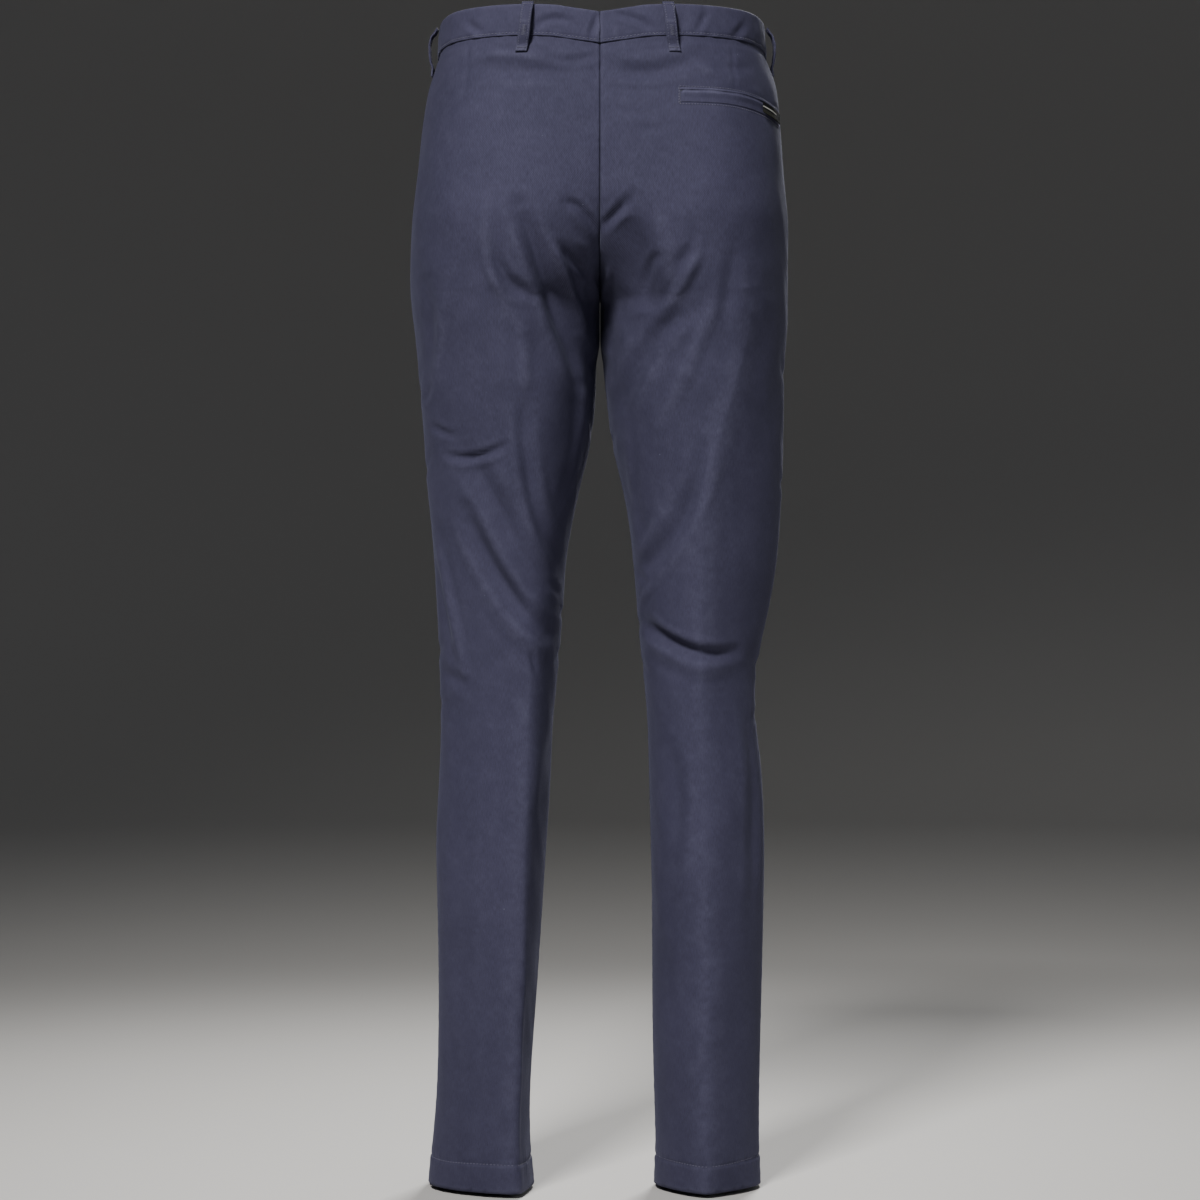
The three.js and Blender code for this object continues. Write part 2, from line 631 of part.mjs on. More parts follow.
function weltTab() {
  const grid = weltGrid(TAB.outer, TAB.inner, 6, TAB.inset, TAB.inset);
  const base = WELT.lift + WELT.wall + TAB.lift;
  return stripOn("back", grid, () => base, () => base + TAB.wall);
}

// The zip's closed chain on its tape, behind the front edges, and the shield behind it all.
const ZIP = { half: 13, top: -19, bottom: -19 - FLY_LENGTH, lift: -(CLOTH + SEAM + 0.25), wall: 0.9 };
const SHIELD = { from: -8, to: 33, wall: 1.3, deep: -6.9, shallow: -4.6 };

// Places on the front, row by row from the top, each row from the wearer's left to the right.
function frontGrid(zs, xs) {
  return zs.map((z) => xs.map((x) => [x, z]));
}

function zip() {
  const grid = frontGrid(range(ZIP.top, ZIP.bottom, 12), [ZIP.half, 6, 2, 0, -2, -6, -ZIP.half]);
  return stripOn("front", grid, () => ZIP.lift - ZIP.wall, () => ZIP.lift);
}

function flyShield() {
  const zs = [BAND_BOTTOM - 1, ...range(ZIP.top - 4, ZIP.bottom - 6, 12)];
  const xs = [...range(SHIELD.to, 6, 4), 2, 0, -3, SHIELD.from];
  const clear = (z) => smooth(ZIP.bottom + 4, ZIP.bottom + 70, z);
  const face = (z) => THREE.MathUtils.lerp(SHIELD.shallow, SHIELD.deep, clear(z));
  return stripOn("front", frontGrid(zs, xs), (x, z) => face(z) - SHIELD.wall, (x, z) => face(z));
}

const GROUP = new THREE.Group();

function add(name, geometry, material) {
  const mesh = new THREE.Mesh(geometry, material);
  mesh.name = name;
  GROUP.add(mesh);
  return mesh;
}

// The slider's body and pull tab lie flat behind the closed front.
function zipSlider() {
  const seat = onFace("front", 0, ZIP.top - 9, ZIP.lift - ZIP.wall - SEAM);
  const body = new THREE.BoxGeometry(8, 2.4, 10);
  const mesh = add("zip_slider", body, zipMetal);
  mesh.position.set(0, seat.y + 1.2 + 0.15, seat.z);
  return mesh;
}

// The waist button, a turned disc with a raised rim on a short shank, on the left half of the band.
const BUTTON = { radius: 8.5, shank: 2.4, stand: 1.2, x: 12 };

function waistButton() {
  const { radius, shank, stand } = BUTTON;
  const profile = [
    [0, 0], [shank, 0], [shank, stand], [radius - 1.5, stand], [radius, stand + 1],
    [radius - 0.3, stand + 2.2], [radius - 1.3, stand + 2.7], [radius - 2.6, stand + 2.2],
    [radius - 3.4, stand + 1.6], [0, stand + 1.6],
  ].map(([r, h]) => new THREE.Vector2(r, h));
  const button = add("waist_button", new THREE.LatheGeometry(profile, 28), horn);
  const column = columnAt("L", "front", BUTTON.x, BAND_BOTTOM);
  button.position.copy(bandPoint("L", column, 0, BAND_PROUD + SEAM));
  const out = clothNormal("L", column, BAND_BOTTOM).setZ(0).normalize();
  button.quaternion.setFromUnitVectors(new THREE.Vector3(0, 1, 0), out);
  return button;
}

for (const side of ["L", "R"]) {
  const word = side === "L" ? "left" : "right";
  add("back_" + word, panel(side, 0, SIDE_SEAM), cloth);
  const [front, facing] = frontAndFacing(side);
  add("front_" + word, front, cloth);
  add("pocket_facing_" + word, facing, cloth);
  add("waistband_" + word, waistband(side), clothBand);
  const loopAt = (face) => columnAt(side, face, LOOP_X[face][side], BAND_BOTTOM);
  add("belt_loop_back_" + word, beltLoop(side, loopAt("back")), clothBand);
  add("belt_loop_side_" + word, beltLoop(side, SIDE_SEAM), clothBand);
  add("belt_loop_front_" + word, beltLoop(side, loopAt("front")), clothBand);
}
add("back_pocket_welt", weltPocket(), clothBand);
add("back_pocket_tab", weltTab(), tabRubber);
add("zip", zip(), zipTape);
zipSlider();
add("fly_shield", flyShield(), cloth);
waistButton();

export default GROUP;
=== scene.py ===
# %% [markdown]
# # Navy chino trousers, dressed over their imported frame
# The frame holds every cut piece as a plain wall of cloth at its real size. This lesson gives each
# wall the look of sewn and worn twill: a fine mesh, listed creases, seams, stitches and
# woven materials. A reader who is learning Blender can run it from top to bottom, cell by cell.

import math
from collections import namedtuple

import bmesh
import bpy
import numpy as np
from mathutils import Matrix, Vector, kdtree
from mathutils.bvhtree import BVHTree


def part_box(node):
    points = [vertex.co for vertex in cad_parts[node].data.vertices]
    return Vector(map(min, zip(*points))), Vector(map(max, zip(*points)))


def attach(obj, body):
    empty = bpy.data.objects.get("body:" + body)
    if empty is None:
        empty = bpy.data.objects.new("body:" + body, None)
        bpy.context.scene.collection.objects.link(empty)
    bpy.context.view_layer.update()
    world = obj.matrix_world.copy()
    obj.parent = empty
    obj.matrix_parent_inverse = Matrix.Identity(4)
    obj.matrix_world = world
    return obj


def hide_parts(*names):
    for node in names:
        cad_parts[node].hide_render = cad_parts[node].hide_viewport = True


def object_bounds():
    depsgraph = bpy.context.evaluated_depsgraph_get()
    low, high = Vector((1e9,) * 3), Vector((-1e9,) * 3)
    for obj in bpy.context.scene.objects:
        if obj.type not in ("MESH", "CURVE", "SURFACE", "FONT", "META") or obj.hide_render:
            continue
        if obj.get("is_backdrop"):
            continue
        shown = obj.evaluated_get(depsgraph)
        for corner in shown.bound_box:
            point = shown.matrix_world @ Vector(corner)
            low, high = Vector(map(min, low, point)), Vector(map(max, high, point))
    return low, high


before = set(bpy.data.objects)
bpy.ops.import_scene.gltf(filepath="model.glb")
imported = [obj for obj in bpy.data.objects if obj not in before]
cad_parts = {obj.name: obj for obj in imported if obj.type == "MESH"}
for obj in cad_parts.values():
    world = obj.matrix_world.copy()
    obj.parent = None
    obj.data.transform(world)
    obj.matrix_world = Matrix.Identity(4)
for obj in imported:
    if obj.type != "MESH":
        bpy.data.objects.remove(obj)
cad_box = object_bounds()
MM = 0.001
SIDES = {"left": 1, "right": -1}  # the wearer's left is +X
BAND_BOTTOM = -14.2 * MM
CROTCH = -237 * MM
HEM = -1036 * MM
HEM_DEPTH = 25 * MM
CLOTH = 1.3 * MM
print("nodes in the frame:", len(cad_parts))


# %% [markdown]
# ## Camera
# The photograph shows the back, level with the thighs, from about three metres. A long lens keeps
# the legs straight. The image is taken as 1200 by 1200, so one pixel is 0.91 mm at the side seams.

# %% Camera
CAMERA_AWAY = 3.033
CAMERA_HEIGHT = -0.507
lens = bpy.data.cameras.new("camera")
lens.lens = 100
lens.sensor_width = 36
camera = bpy.data.objects.new("camera", lens)
camera.location = (0, CAMERA_AWAY, CAMERA_HEIGHT)
camera.rotation_euler = (math.radians(90), 0, math.radians(180))
bpy.context.scene.collection.objects.link(camera)
bpy.context.scene.camera = camera
print("camera at", tuple(camera.location))


# %% [markdown]
# ## Helpers for meshes
# Three small tools are used again and again: one makes an object from a bmesh, one reads a mesh
# into arrays for fast sums, and one writes an array of points back.

# %% Helpers for meshes
def ease(low, high, value):
    """0 below low, 1 above high, and smooth between them."""
    t = np.clip((np.asarray(value, float) - low) / (high - low), 0, 1)
    return t * t * (3 - 2 * t)


def make_object(name, bm):
    """A new object from a bmesh, which is used up."""
    mesh = bpy.data.meshes.new(name)
    bm.to_mesh(mesh)
    bm.free()
    made = bpy.data.objects.new(name, mesh)
    bpy.context.scene.collection.objects.link(made)
    return made


def points_of(mesh):
    points = np.empty(len(mesh.vertices) * 3)
    mesh.vertices.foreach_get("co", points)
    return points.reshape(-1, 3)


def normals_of(mesh):
    normals = np.empty(len(mesh.vertices) * 3)
    mesh.vertices.foreach_get("normal", normals)
    return normals.reshape(-1, 3)


def put_points(mesh, points):
    mesh.vertices.foreach_set("co", np.ascontiguousarray(points).ravel())
    mesh.update()


def shade_smooth(mesh):
    mesh.polygons.foreach_set("use_smooth", [True] * len(mesh.polygons))
    mesh.update()


def add_solidify(piece, thickness, offset=-1.0):
    wall = piece.modifiers.new("cloth", "SOLIDIFY")
    wall.thickness = thickness
    wall.offset = offset
    wall.use_even_offset = False
    return wall


def subdivided(name, bm, levels):
    """A bmesh of few faces made fine and smooth by a Subdivision Surface, with that applied."""
    coarse = make_object(name + "_coarse", bm)
    fine = coarse.modifiers.new("fine", "SUBSURF")
    fine.levels = fine.render_levels = levels
    fine.boundary_smooth = "PRESERVE_CORNERS"
    bpy.context.view_layer.update()
    evaluated = coarse.evaluated_get(bpy.context.evaluated_depsgraph_get())
    mesh = bpy.data.meshes.new_from_object(evaluated)
    mesh.name = name
    bpy.data.objects.remove(coarse)
    made = bpy.data.objects.new(name, mesh)
    bpy.context.scene.collection.objects.link(made)
    shade_smooth(mesh)
    return made


def iron_folds(mesh, rings=5, passes=40):
    """Smooths a mesh where two of its faces meet in a sharp fold, and leaves the rest alone."""
    bm = bmesh.new()
    bm.from_mesh(mesh)
    sharp = [e for e in bm.edges if len(e.link_faces) == 2 and e.calc_face_angle(0) > math.radians(28)]
    folded = {v for e in sharp for v in e.verts}
    for _ in range(rings):
        folded |= {e.other_vert(v) for v in folded for e in v.link_edges}
    moving = [v for v in folded if not v.is_boundary]
    for _ in range(passes if moving else 0):
        bmesh.ops.smooth_vert(bm, verts=moving, factor=0.5, use_axis_x=True, use_axis_y=True, use_axis_z=True)
    bm.to_mesh(mesh)
    bm.free()
    mesh.update()
    return len(sharp)


# %% [markdown]
# ## The outside of a CAD wall
# A panel in the frame is a closed wall of loose triangles. Only its outer face is wanted, as clean
# quads, because the Solidify modifier gives the thickness back later. The faces are told apart by
# where they look: the outer ones look away from a place inside the garment.

# %% The outside of a CAD wall
def inside_leg(place):
    """A place in the middle of the leg, a little higher under the crotch, where the seat curves in."""
    below = float(ease(-0.22, -0.30, place.z)) if place.z < -0.22 else 0.0
    lift = 0.045 * float(ease(-0.13, -0.19, place.z)) * (1 - below)
    across = 0.070 + (0.092 - 0.070) * below
    return Vector((math.copysign(across, place.x), 0.003, place.z + lift))


def inside_waist(place):
    return Vector((0.0, 0.0, place.z))


def outer_sheet(node, inside, facing=0.35):
    """The outer face of a CAD node's wall as a bmesh of quads."""
    bm = bmesh.new()
    bm.from_mesh(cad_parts[node].data)
    bmesh.ops.remove_doubles(bm, verts=bm.verts, dist=0.02 * MM)
    bm.normal_update()
    centre_gap = 0.25 * MM
    dropped = []
    for face in bm.faces:
        middle = face.calc_center_median()
        on_centre = all(abs(v.co.x) < centre_gap for v in face.verts)
        if on_centre or face.normal.dot((middle - inside(middle)).normalized()) < facing:
            dropped.append(face)
    bmesh.ops.delete(bm, geom=dropped, context="FACES")
    bmesh.ops.dissolve_limit(bm, angle_limit=math.radians(0.4), verts=[], edges=bm.edges)
    bmesh.ops.join_triangles(
        bm, faces=bm.faces, angle_face_threshold=math.radians(50), angle_shape_threshold=math.radians(120)
    )
    bmesh.ops.connect_verts_concave(bm, faces=bm.faces)
    return bm


# %% [markdown]
# ## Creases
# Cloth creases are soft troughs with a low ridge beside them. Each is laid along a curve
# through three places, in millimetres, seen from behind, from the front or from the side. A
# simulation would settle the cloth its own way; placed creases can follow the photograph.

# %% Creases
Crease = namedtuple("Crease", "side face a1 z1 a2 z2 a3 z3 half depth lean")
# side and face say where; a is the distance from the centre line, or on the side the distance
# behind the seam; half is half the width; depth is below 0 for a trough; lean puts the low ridge
# on one side of the curve (1 or -1) or on both (0).
CREASES = [
    # under the seat and down the inner thigh, left
    Crease("left", "back", 30, -160, 16, -167, 1, -189, 4.5, -3.5, 0),
    Crease("left", "back", 70, -164, 46, -230, 16, -312, 9, -8.6, 0),
    Crease("left", "back", 42, -192, 27, -232, 8, -290, 4.5, 4.6, 0),
    Crease("left", "back", 34, -197, 22, -210, 6, -222, 4.5, -3.2, 0),
    Crease("left", "back", 26, -188, 14, -196, 5, -203, 5, 1.4, 0),
    Crease("left", "back", 99, -160, 95, -216, 70, -270, 6, 2.7, 0),
    Crease("left", "back", 95, -198, 82, -226, 62, -238, 7, -4.3, 0),
    Crease("left", "back", 101, -243, 92, -268, 86, -290, 6, -1.4, 0),
    Crease("left", "back", 135, -232, 141, -269, 148, -324, 6, 1.8, 0),
    Crease("left", "back", 155, -225, 151, -262, 153, -302, 6, -1.8, 0),
    Crease("left", "back", 69, -262, 67, -300, 65, -340, 7, 1.8, 0),
    Crease("left", "back", 20, -272, 15, -345, 31, -428, 5, 2.4, 0),
    Crease("left", "back", 8, -285, 5, -340, 16, -402, 7, -3.0, 0),
    # left thigh and knee
    Crease("left", "back", 161, -322, 157, -327, 153, -317, 3, -2.2, 0),
    Crease("left", "back", 151, -350, 140, -357, 128, -361, 3.5, -2.4, 0),
    Crease("left", "back", 137, -377, 112, -380, 81, -369, 4, -4.1, 0),
    Crease("left", "back", 134, -385, 112, -388, 86, -378, 4, 1.4, 0),
    Crease("left", "back", 66, -325, 62, -400, 33, -482, 7, -3.8, 0),
    Crease("left", "back", 56, -380, 51, -425, 34, -462, 6, 1.8, 0),
    Crease("left", "back", 116, -380, 88, -430, 60, -492, 11, -4.6, 0),
    Crease("left", "back", 118, -428, 91, -487, 47, -537, 9, -6.8, 0),
    Crease("left", "back", 100, -500, 80, -530, 50, -553, 8, 2.0, 0),
    Crease("left", "back", 44, -492, 37, -500, 30, -507, 4, -2.7, 0),
    Crease("left", "back", 150, -445, 136, -507, 121, -573, 5, 3.4, 0),
    Crease("left", "back", 147, -478, 143, -507, 137, -542, 6, -2.7, 0),
    Crease("left", "back", 146, -568, 132, -577, 118, -585, 7, -2.3, 0),
    Crease("left", "back", 62, -553, 60, -562, 56, -573, 3, -2.0, 0),
    Crease("left", "back", 50, -664, 48, -690, 46, -722, 5, -1.8, 0),
    Crease("left", "back", 122, -640, 126, -790, 124, -950, 11, -1.2, 0),
    # under the seat and down the inner thigh, right
    Crease("right", "back", 2, -181, 13, -170, 29, -153, 5, -4.1, 0),
    Crease("right", "back", 24, -170, 33, -212, 40, -256, 17, -7.4, 0),
    Crease("right", "back", 78, -180, 84, -200, 58, -214, 8, -2.3, 0),
    Crease("right", "back", 55, -205, 45, -212, 36, -234, 5, -2.6, 0),
    Crease("right", "back", 89, -186, 77, -222, 54, -257, 6, 3.5, 0),
    Crease("right", "back", 80, -254, 43, -284, 14, -350, 9, -5.4, 0),
    Crease("right", "back", 100, -240, 84, -288, 54, -352, 7, 2.6, 0),
    Crease("right", "back", 120, -190, 112, -243, 108, -292, 8, -2.0, 0),
    Crease("right", "back", 24, -352, 27, -400, 33, -455, 4, 2.0, 0),
    # right thigh and knee
    Crease("right", "back", 93, -372, 70, -440, 29, -488, 9, -5.4, 0),
    Crease("right", "back", 62, -398, 50, -440, 36, -470, 6, 1.5, 0),
    Crease("right", "back", 35, -524, 78, -551, 121, -553, 6.5, -6.5, 0),
    Crease("right", "back", 44, -545, 80, -567, 116, -567, 7, 2.0, 0),
    Crease("right", "back", 30, -481, 35, -486, 41, -490, 4, -3.1, 0),
    Crease("right", "back", 46, -494, 38, -507, 31, -521, 3.5, 2.6, 0),
    Crease("right", "back", 121, -660, 125, -663, 129, -664, 2.5, -1.5, 0),
    Crease("right", "back", 62, -640, 68, -690, 61, -790, 9, -2.7, 0),
    Crease("right", "back", 132, -596, 139, -700, 134, -800, 7, -2.4, 0),
    Crease("right", "back", 79, -938, 88, -915, 93, -898, 5, 0.9, 0),
    # below the waistband
    Crease("left", "back", 116, -38, 58, -43, 6, -42, 8, -2.4, 0),
    Crease("left", "back", 50, -27, 26, -34, 0, -26, 5, -1.8, 0),
    Crease("left", "back", 110, -29, 82, -28, 55, -33, 5, 1.2, 0),
    Crease("right", "back", 2, -35, 44, -44, 90, -27, 8, -3.0, 0),
    Crease("right", "back", 98, -33, 117, -39, 136, -32, 6, -1.1, 0),
    Crease("right", "back", 60, -25, 84, -37, 100, -48, 6, 1.2, 0),
    Crease("right", "back", 4, -57, 30, -61, 60, -58, 5, -1.1, 0),
    Crease("right", "back", 8, -78, 30, -81, 54, -76, 5, -0.8, 0),
    Crease("right", "back", 30, -93, 48, -97, 68, -90, 5, -0.9, 0),
    # the darts
    Crease("left", "back", 116, -2, 117, -36, 121, -76, 2.0, -1.2, 0),
    Crease("right", "back", 116, -2, 117, -34, 120, -64, 2.0, -1.0, 0),
    # the front: creases that fan out from the crotch, and drag lines over the knees
    Crease("left", "front", 6, -205, 34, -196, 72, -176, 6, -2.2, 0),
    Crease("left", "front", 8, -226, 40, -222, 88, -204, 7, -2.8, 0),
    Crease("left", "front", 16, -252, 48, -252, 92, -242, 8, -2.4, 0),
    Crease("left", "front", 24, -300, 44, -326, 58, -372, 10, -2.0, 0),
    Crease("left", "front", 132, -250, 122, -306, 118, -372, 9, 1.4, 0),
    Crease("left", "front", 60, -498, 88, -520, 128, -512, 7, -2.6, 0),
    Crease("left", "front", 74, -548, 104, -556, 140, -590, 8, -2.2, 0),
    Crease("left", "front", 56, -604, 78, -600, 100, -616, 6, -1.6, 0),
    Crease("left", "front", 96, -650, 116, -640, 134, -646, 6, -1.0, 0),
    Crease("right", "front", 6, -202, 36, -196, 78, -180, 6, -2.0, 0),
    Crease("right", "front", 8, -230, 44, -228, 92, -212, 7, -2.8, 0),
    Crease("right", "front", 18, -258, 52, -260, 96, -252, 8, -2.0, 0),
    Crease("right", "front", 22, -306, 40, -332, 52, -380, 10, -2.2, 0),
    Crease("right", "front", 136, -246, 128, -300, 112, -366, 9, 1.6, 0),
    Crease("right", "front", 50, -530, 80, -532, 112, -508, 7, -2.8, 0),
    Crease("right", "front", 92, -556, 112, -560, 134, -580, 7, -2.0, 0),
    Crease("right", "front", 54, -586, 86, -596, 118, -632, 8, -2.0, 0),
    Crease("right", "front", 60, -648, 76, -644, 92, -650, 6, -1.0, 0),
    # the outer sides
    Crease("left", "outer", 34, -300, 8, -318, -22, -322, 7, -1.0, 0),
    Crease("left", "outer", 38, -372, 10, -388, -18, -384, 6, -1.0, 0),
    Crease("left", "outer", 30, -540, 4, -552, -24, -548, 7, -1.3, 0),
    Crease("left", "outer", 28, -604, 2, -600, -26, -612, 6, -1.0, 0),
    Crease("right", "outer", 36, -292, 8, -304, -20, -300, 7, -0.9, 0),
    Crease("right", "outer", 34, -392, 6, -402, -20, -398, 6, -1.0, 0),
    Crease("right", "outer", 32, -552, 4, -566, -22, -560, 7, -1.4, 0),
    Crease("right", "outer", 28, -618, 0, -612, -24, -622, 6, -1.0, 0),
    # the inner sides
    Crease("left", "inner", 30, -330, 6, -350, -20, -352, 7, -1.0, 0),
    Crease("left", "inner", 28, -512, 2, -520, -24, -516, 6, -1.2, 0),
    Crease("left", "inner", 26, -560, 0, -556, -24, -566, 6, -1.0, 0),
    Crease("right", "inner", 30, -344, 6, -362, -20, -360, 7, -1.0, 0),
    Crease("right", "inner", 28, -520, 2, -530, -22, -524, 6, -1.2, 0),
    Crease("right", "inner", 26, -572, 0, -566, -24, -576, 6, -1.0, 0),
]
# The creases that were ironed in: distance from the centre line by height, with their strength.
PRESSED = {
    ("left", "back"): [(-520, 61, 0.2), (-640, 65, 0.8), (-780, 69, 1), (-900, 72, 1), (-1040, 74.5, 0.9)],
    ("right", "back"): [
        (-230, 134, 0.5), (-270, 130, 0.8), (-313, 119, 0.9), (-366, 104, 1), (-402, 92, 1), (-520, 90, 1),
        (-560, 89.5, 0.4), (-700, 92.5, 0.25), (-850, 96, 0.7), (-1040, 95.5, 0.8),
    ],
    ("left", "front"): [(-330, 97, 0.2), (-560, 116, 0.6), (-780, 129, 0.8), (-1040, 137, 1)],
    ("right", "front"): [(-330, 90, 0.2), (-560, 98, 0.6), (-780, 102, 0.8), (-1040, 102, 1)],
}
PRESSED_HALF = 22
PRESSED_HEIGHT = 2.6


def curve_through(crease, steps=18):
    """Points of a quadratic curve through the crease's three places."""
    first, middle, last = np.array(crease[2:8], float).reshape(3, 2)
    handle = 2 * middle - (first + last) / 2
    t = np.linspace(0, 1, steps + 1)[:, None]
    return (1 - t) ** 2 * first + 2 * t * (1 - t) * handle + t * t * last


def measure_from(curve, places):
    """How far each place is from a curve, on which side of it, and how far along it."""
    start, run = curve[:-1], np.diff(curve, axis=0)
    to_place = places[:, None, :] - start[None]
    share = np.clip((to_place * run).sum(2) / (run**2).sum(1), 0, 1)
    away = to_place - share[..., None] * run
    distance = np.hypot(away[..., 0], away[..., 1])
    nearest = distance.argmin(1)
    row = np.arange(len(places))
    step = run[nearest]
    turn = step[:, 0] * away[row, nearest, 1] - step[:, 1] * away[row, nearest, 0]
    return distance[row, nearest], np.sign(turn), (nearest + share[row, nearest]) / len(run)


def crease_depth(crease, places):
    """How far, in mm, one crease moves each place (a, z) in or out."""
    curve = curve_through(crease)
    reach = 2.7 * crease.half
    low, high = curve.min(0) - reach, curve.max(0) + reach
    close = np.flatnonzero(((places > low) & (places < high)).all(1))
    moved = np.zeros(len(places))
    if len(close) == 0:
        return moved
    distance, turn, along = measure_from(curve, places[close])
    taper = np.sin(np.pi * np.clip(along, 0.03, 0.97)) ** 0.6
    core = np.exp(-((1.35 * distance / crease.half) ** 2))
    rim = np.exp(-((1.9 * (distance / crease.half - 1.55)) ** 2)) * 0.24 * (1 + crease.lean * turn)
    moved[close] = crease.depth * taper * (core - rim)
    return moved


FACE_WAYS = {"back": (1, 1), "front": (1, -1), "outer": (0, 1), "inner": (0, -1)}


def all_creases(points, normals, side, creases=None):
    """The sum of the listed creases at each point of one side, in metres."""
    sign = SIDES[side]
    total = np.zeros(len(points))
    for face, (axis, way) in FACE_WAYS.items():
        look = normals[:, 1] * way if axis else normals[:, 0] * way * sign
        share = ease(0.1, 0.55, look)
        seen = points[:, 0] * sign if axis else points[:, 1]
        places = np.column_stack([seen, points[:, 2]]) / MM
        for crease in creases or CREASES:
            if crease.side == side and crease.face == face:
                total += share * crease_depth(crease, places)
        pressed = PRESSED.get((side, face))
        if pressed and not creases:
            z, across, strength = np.array(pressed[::-1], float).T
            away = (places[:, 0] - np.interp(places[:, 1], z, across)) / PRESSED_HALF
            strong = np.interp(places[:, 1], z, strength) * ease(z[-1] + 60, z[-1] - 60, places[:, 1])
            total += share * strong * PRESSED_HEIGHT * np.clip(1 - np.abs(away), 0, 1) ** 1.7
    return total * MM


print("creases laid by hand:", len(CREASES))


# %% [markdown]
# ## The unevenness of worn cloth
# Between its creases cloth is never a perfect surface. A few long waves that cross each other give
# it a slow unevenness without anything random, so that every run makes the same trousers.

# %% The unevenness of worn cloth
WAVES = [  # how often per metre along X, Y and Z, where it starts, and how high in mm
    (11, 9, 6, 0.4, 0.34),
    (-7, 14, 10, 1.9, 0.26),
    (17, -6, 13, 3.1, 0.18),
    (9, 21, -17, 4.4, 0.14),
    (-26, 12, 22, 5.2, 0.09),
    (31, 27, -9, 0.9, 0.06),
]


def unevenness(points):
    total = np.zeros(len(points))
    for across, deep, up, start, height in WAVES:
        phase = (points @ np.array([across, deep, up])) * math.tau + start
        total += height * MM * np.sin(phase + 0.7 * np.sin(0.37 * phase + start))
    return total


# %% [markdown]
# ## Seams, edges and the hem
# At a seam both panels turn in and meet in a thin groove. The fine mesh knows its own edge, so the
# distance to it shapes the groove and the small puckers beside it. The edge moves out by half the
# gap in the frame, so that no light shows through. The hem is turned up and stitched: the cloth
# is thicker below its stitch line, and the line itself draws the cloth in.

# %% Seams, edges and the hem
SEAM_GAP = 0.15 * MM
GROOVE_HALF = 1.7 * MM
GROOVE_DEPTH = 1.2 * MM
VALLEY_HALF = 9 * MM
VALLEY_DEPTH = 0.5 * MM


def steepness(edge):
    return abs((edge.verts[0].co - edge.verts[1].co).normalized().z)


def kind_of_edge(steep, height):
    """The top, the hem or a seam, told from how steep an edge is and how high it lies."""
    if steep < 0.6 and height > -45 * MM:
        return "top"
    if steep < 0.6 and height < HEM + 10 * MM:
        return "hem"
    return "seam"


def edge_places(mesh):
    """The points on the mesh's edge, as lists of (place, index) for the top, the hem and the seams."""
    bm = bmesh.new()
    bm.from_mesh(mesh)
    kinds = {"top": [], "hem": [], "seam": []}
    for v in bm.verts:
        if v.is_boundary:
            rims = [steepness(e) for e in v.link_edges if e.is_boundary]
            kinds[kind_of_edge(sum(rims) / len(rims), v.co.z)].append((v.co.copy(), v.index))
    bm.free()
    return kinds


def edge_lines(mesh, parts=6):
    """The same edges as close rows of places, so that a distance to them is smooth."""
    bm = bmesh.new()
    bm.from_mesh(mesh)
    lines = {"top": [], "hem": [], "seam": []}
    for e in bm.edges:
        if e.is_boundary:
            first, last = (v.co for v in e.verts)
            row = [first.lerp(last, k / parts) for k in range(parts + 1)]
            lines[kind_of_edge(steepness(e), (first.z + last.z) / 2)] += row
    bm.free()
    return lines


def distance_to(places, points):
    """Each point's distance to the nearest of the places, and the way there."""
    if not places:
        return np.full(len(points), 9.0), np.zeros_like(points)
    tree = kdtree.KDTree(len(places))
    for k, place in enumerate(places):
        tree.insert(place, k)
    tree.balance()
    found = [tree.find(p) for p in points]
    nearest = np.array([f[0] for f in found])
    return np.array([f[2] for f in found]), nearest - points


def seam_shape(points, away):
    """How far in the cloth lies at a distance from a seam, with its puckers, in metres."""
    groove = GROOVE_DEPTH * np.clip(1 - away / GROOVE_HALF, 0, 1) ** 2
    valley = VALLEY_DEPTH * np.exp(-((away / VALLEY_HALF) ** 2))
    along = points[:, 2] / MM
    ripple = np.sin(along / 2.1 + 1.5 * np.sin(along / 17)) * np.sin(along / 6.3 + 0.8)
    puckers = 0.22 * MM * ripple * np.exp(-away / (5 * MM))
    return -(groove + valley) + puckers


def hem_line(points, side):
    """The height of the hem's stitch line: it dips a little at the crease, where the cloth is folded."""
    return HEM + HEM_DEPTH - 0.8 * MM * np.sin(points[:, 0] * 38 + SIDES[side])


def hem_shape(points, side):
    above = points[:, 2] - hem_line(points, side)
    thicker = 0.55 * MM * ease(1.5 * MM, -2.5 * MM, above)
    drawn_in = 0.75 * MM * np.exp(-((above / (1.6 * MM)) ** 2))
    around = np.arctan2(points[:, 1], points[:, 0] - SIDES[side] * 0.1)
    ripple = np.sin(around * 41 + 1.3 * np.sin(around * 9)) * np.sin(around * 13 + 0.5)
    puckers = 0.38 * MM * ripple * np.exp(-((above / (9 * MM)) ** 2))
    return thicker - drawn_in + puckers


def give_cloth_map(mesh, side):
    """A UV map in metres round and down the leg, which the weave follows."""
    points = points_of(mesh)
    spread = 0.070
    around = np.arctan2(points[:, 1], points[:, 0] * SIDES[side] - 0.08) * spread
    uv = np.column_stack([around, points[:, 2]])
    put_map(mesh, uv)


def put_map(mesh, uv):
    layer = mesh.uv_layers.get("cloth") or mesh.uv_layers.new(name="cloth")
    corner_vertex = np.empty(len(mesh.loops), int)
    mesh.loops.foreach_get("vertex_index", corner_vertex)
    layer.data.foreach_set("uv", uv[corner_vertex].astype(np.float32).ravel())


def put_attribute(mesh, name, values):
    layer = mesh.attributes.get(name) or mesh.attributes.new(name, "FLOAT", "POINT")
    layer.data.foreach_set("value", np.asarray(values, np.float32))
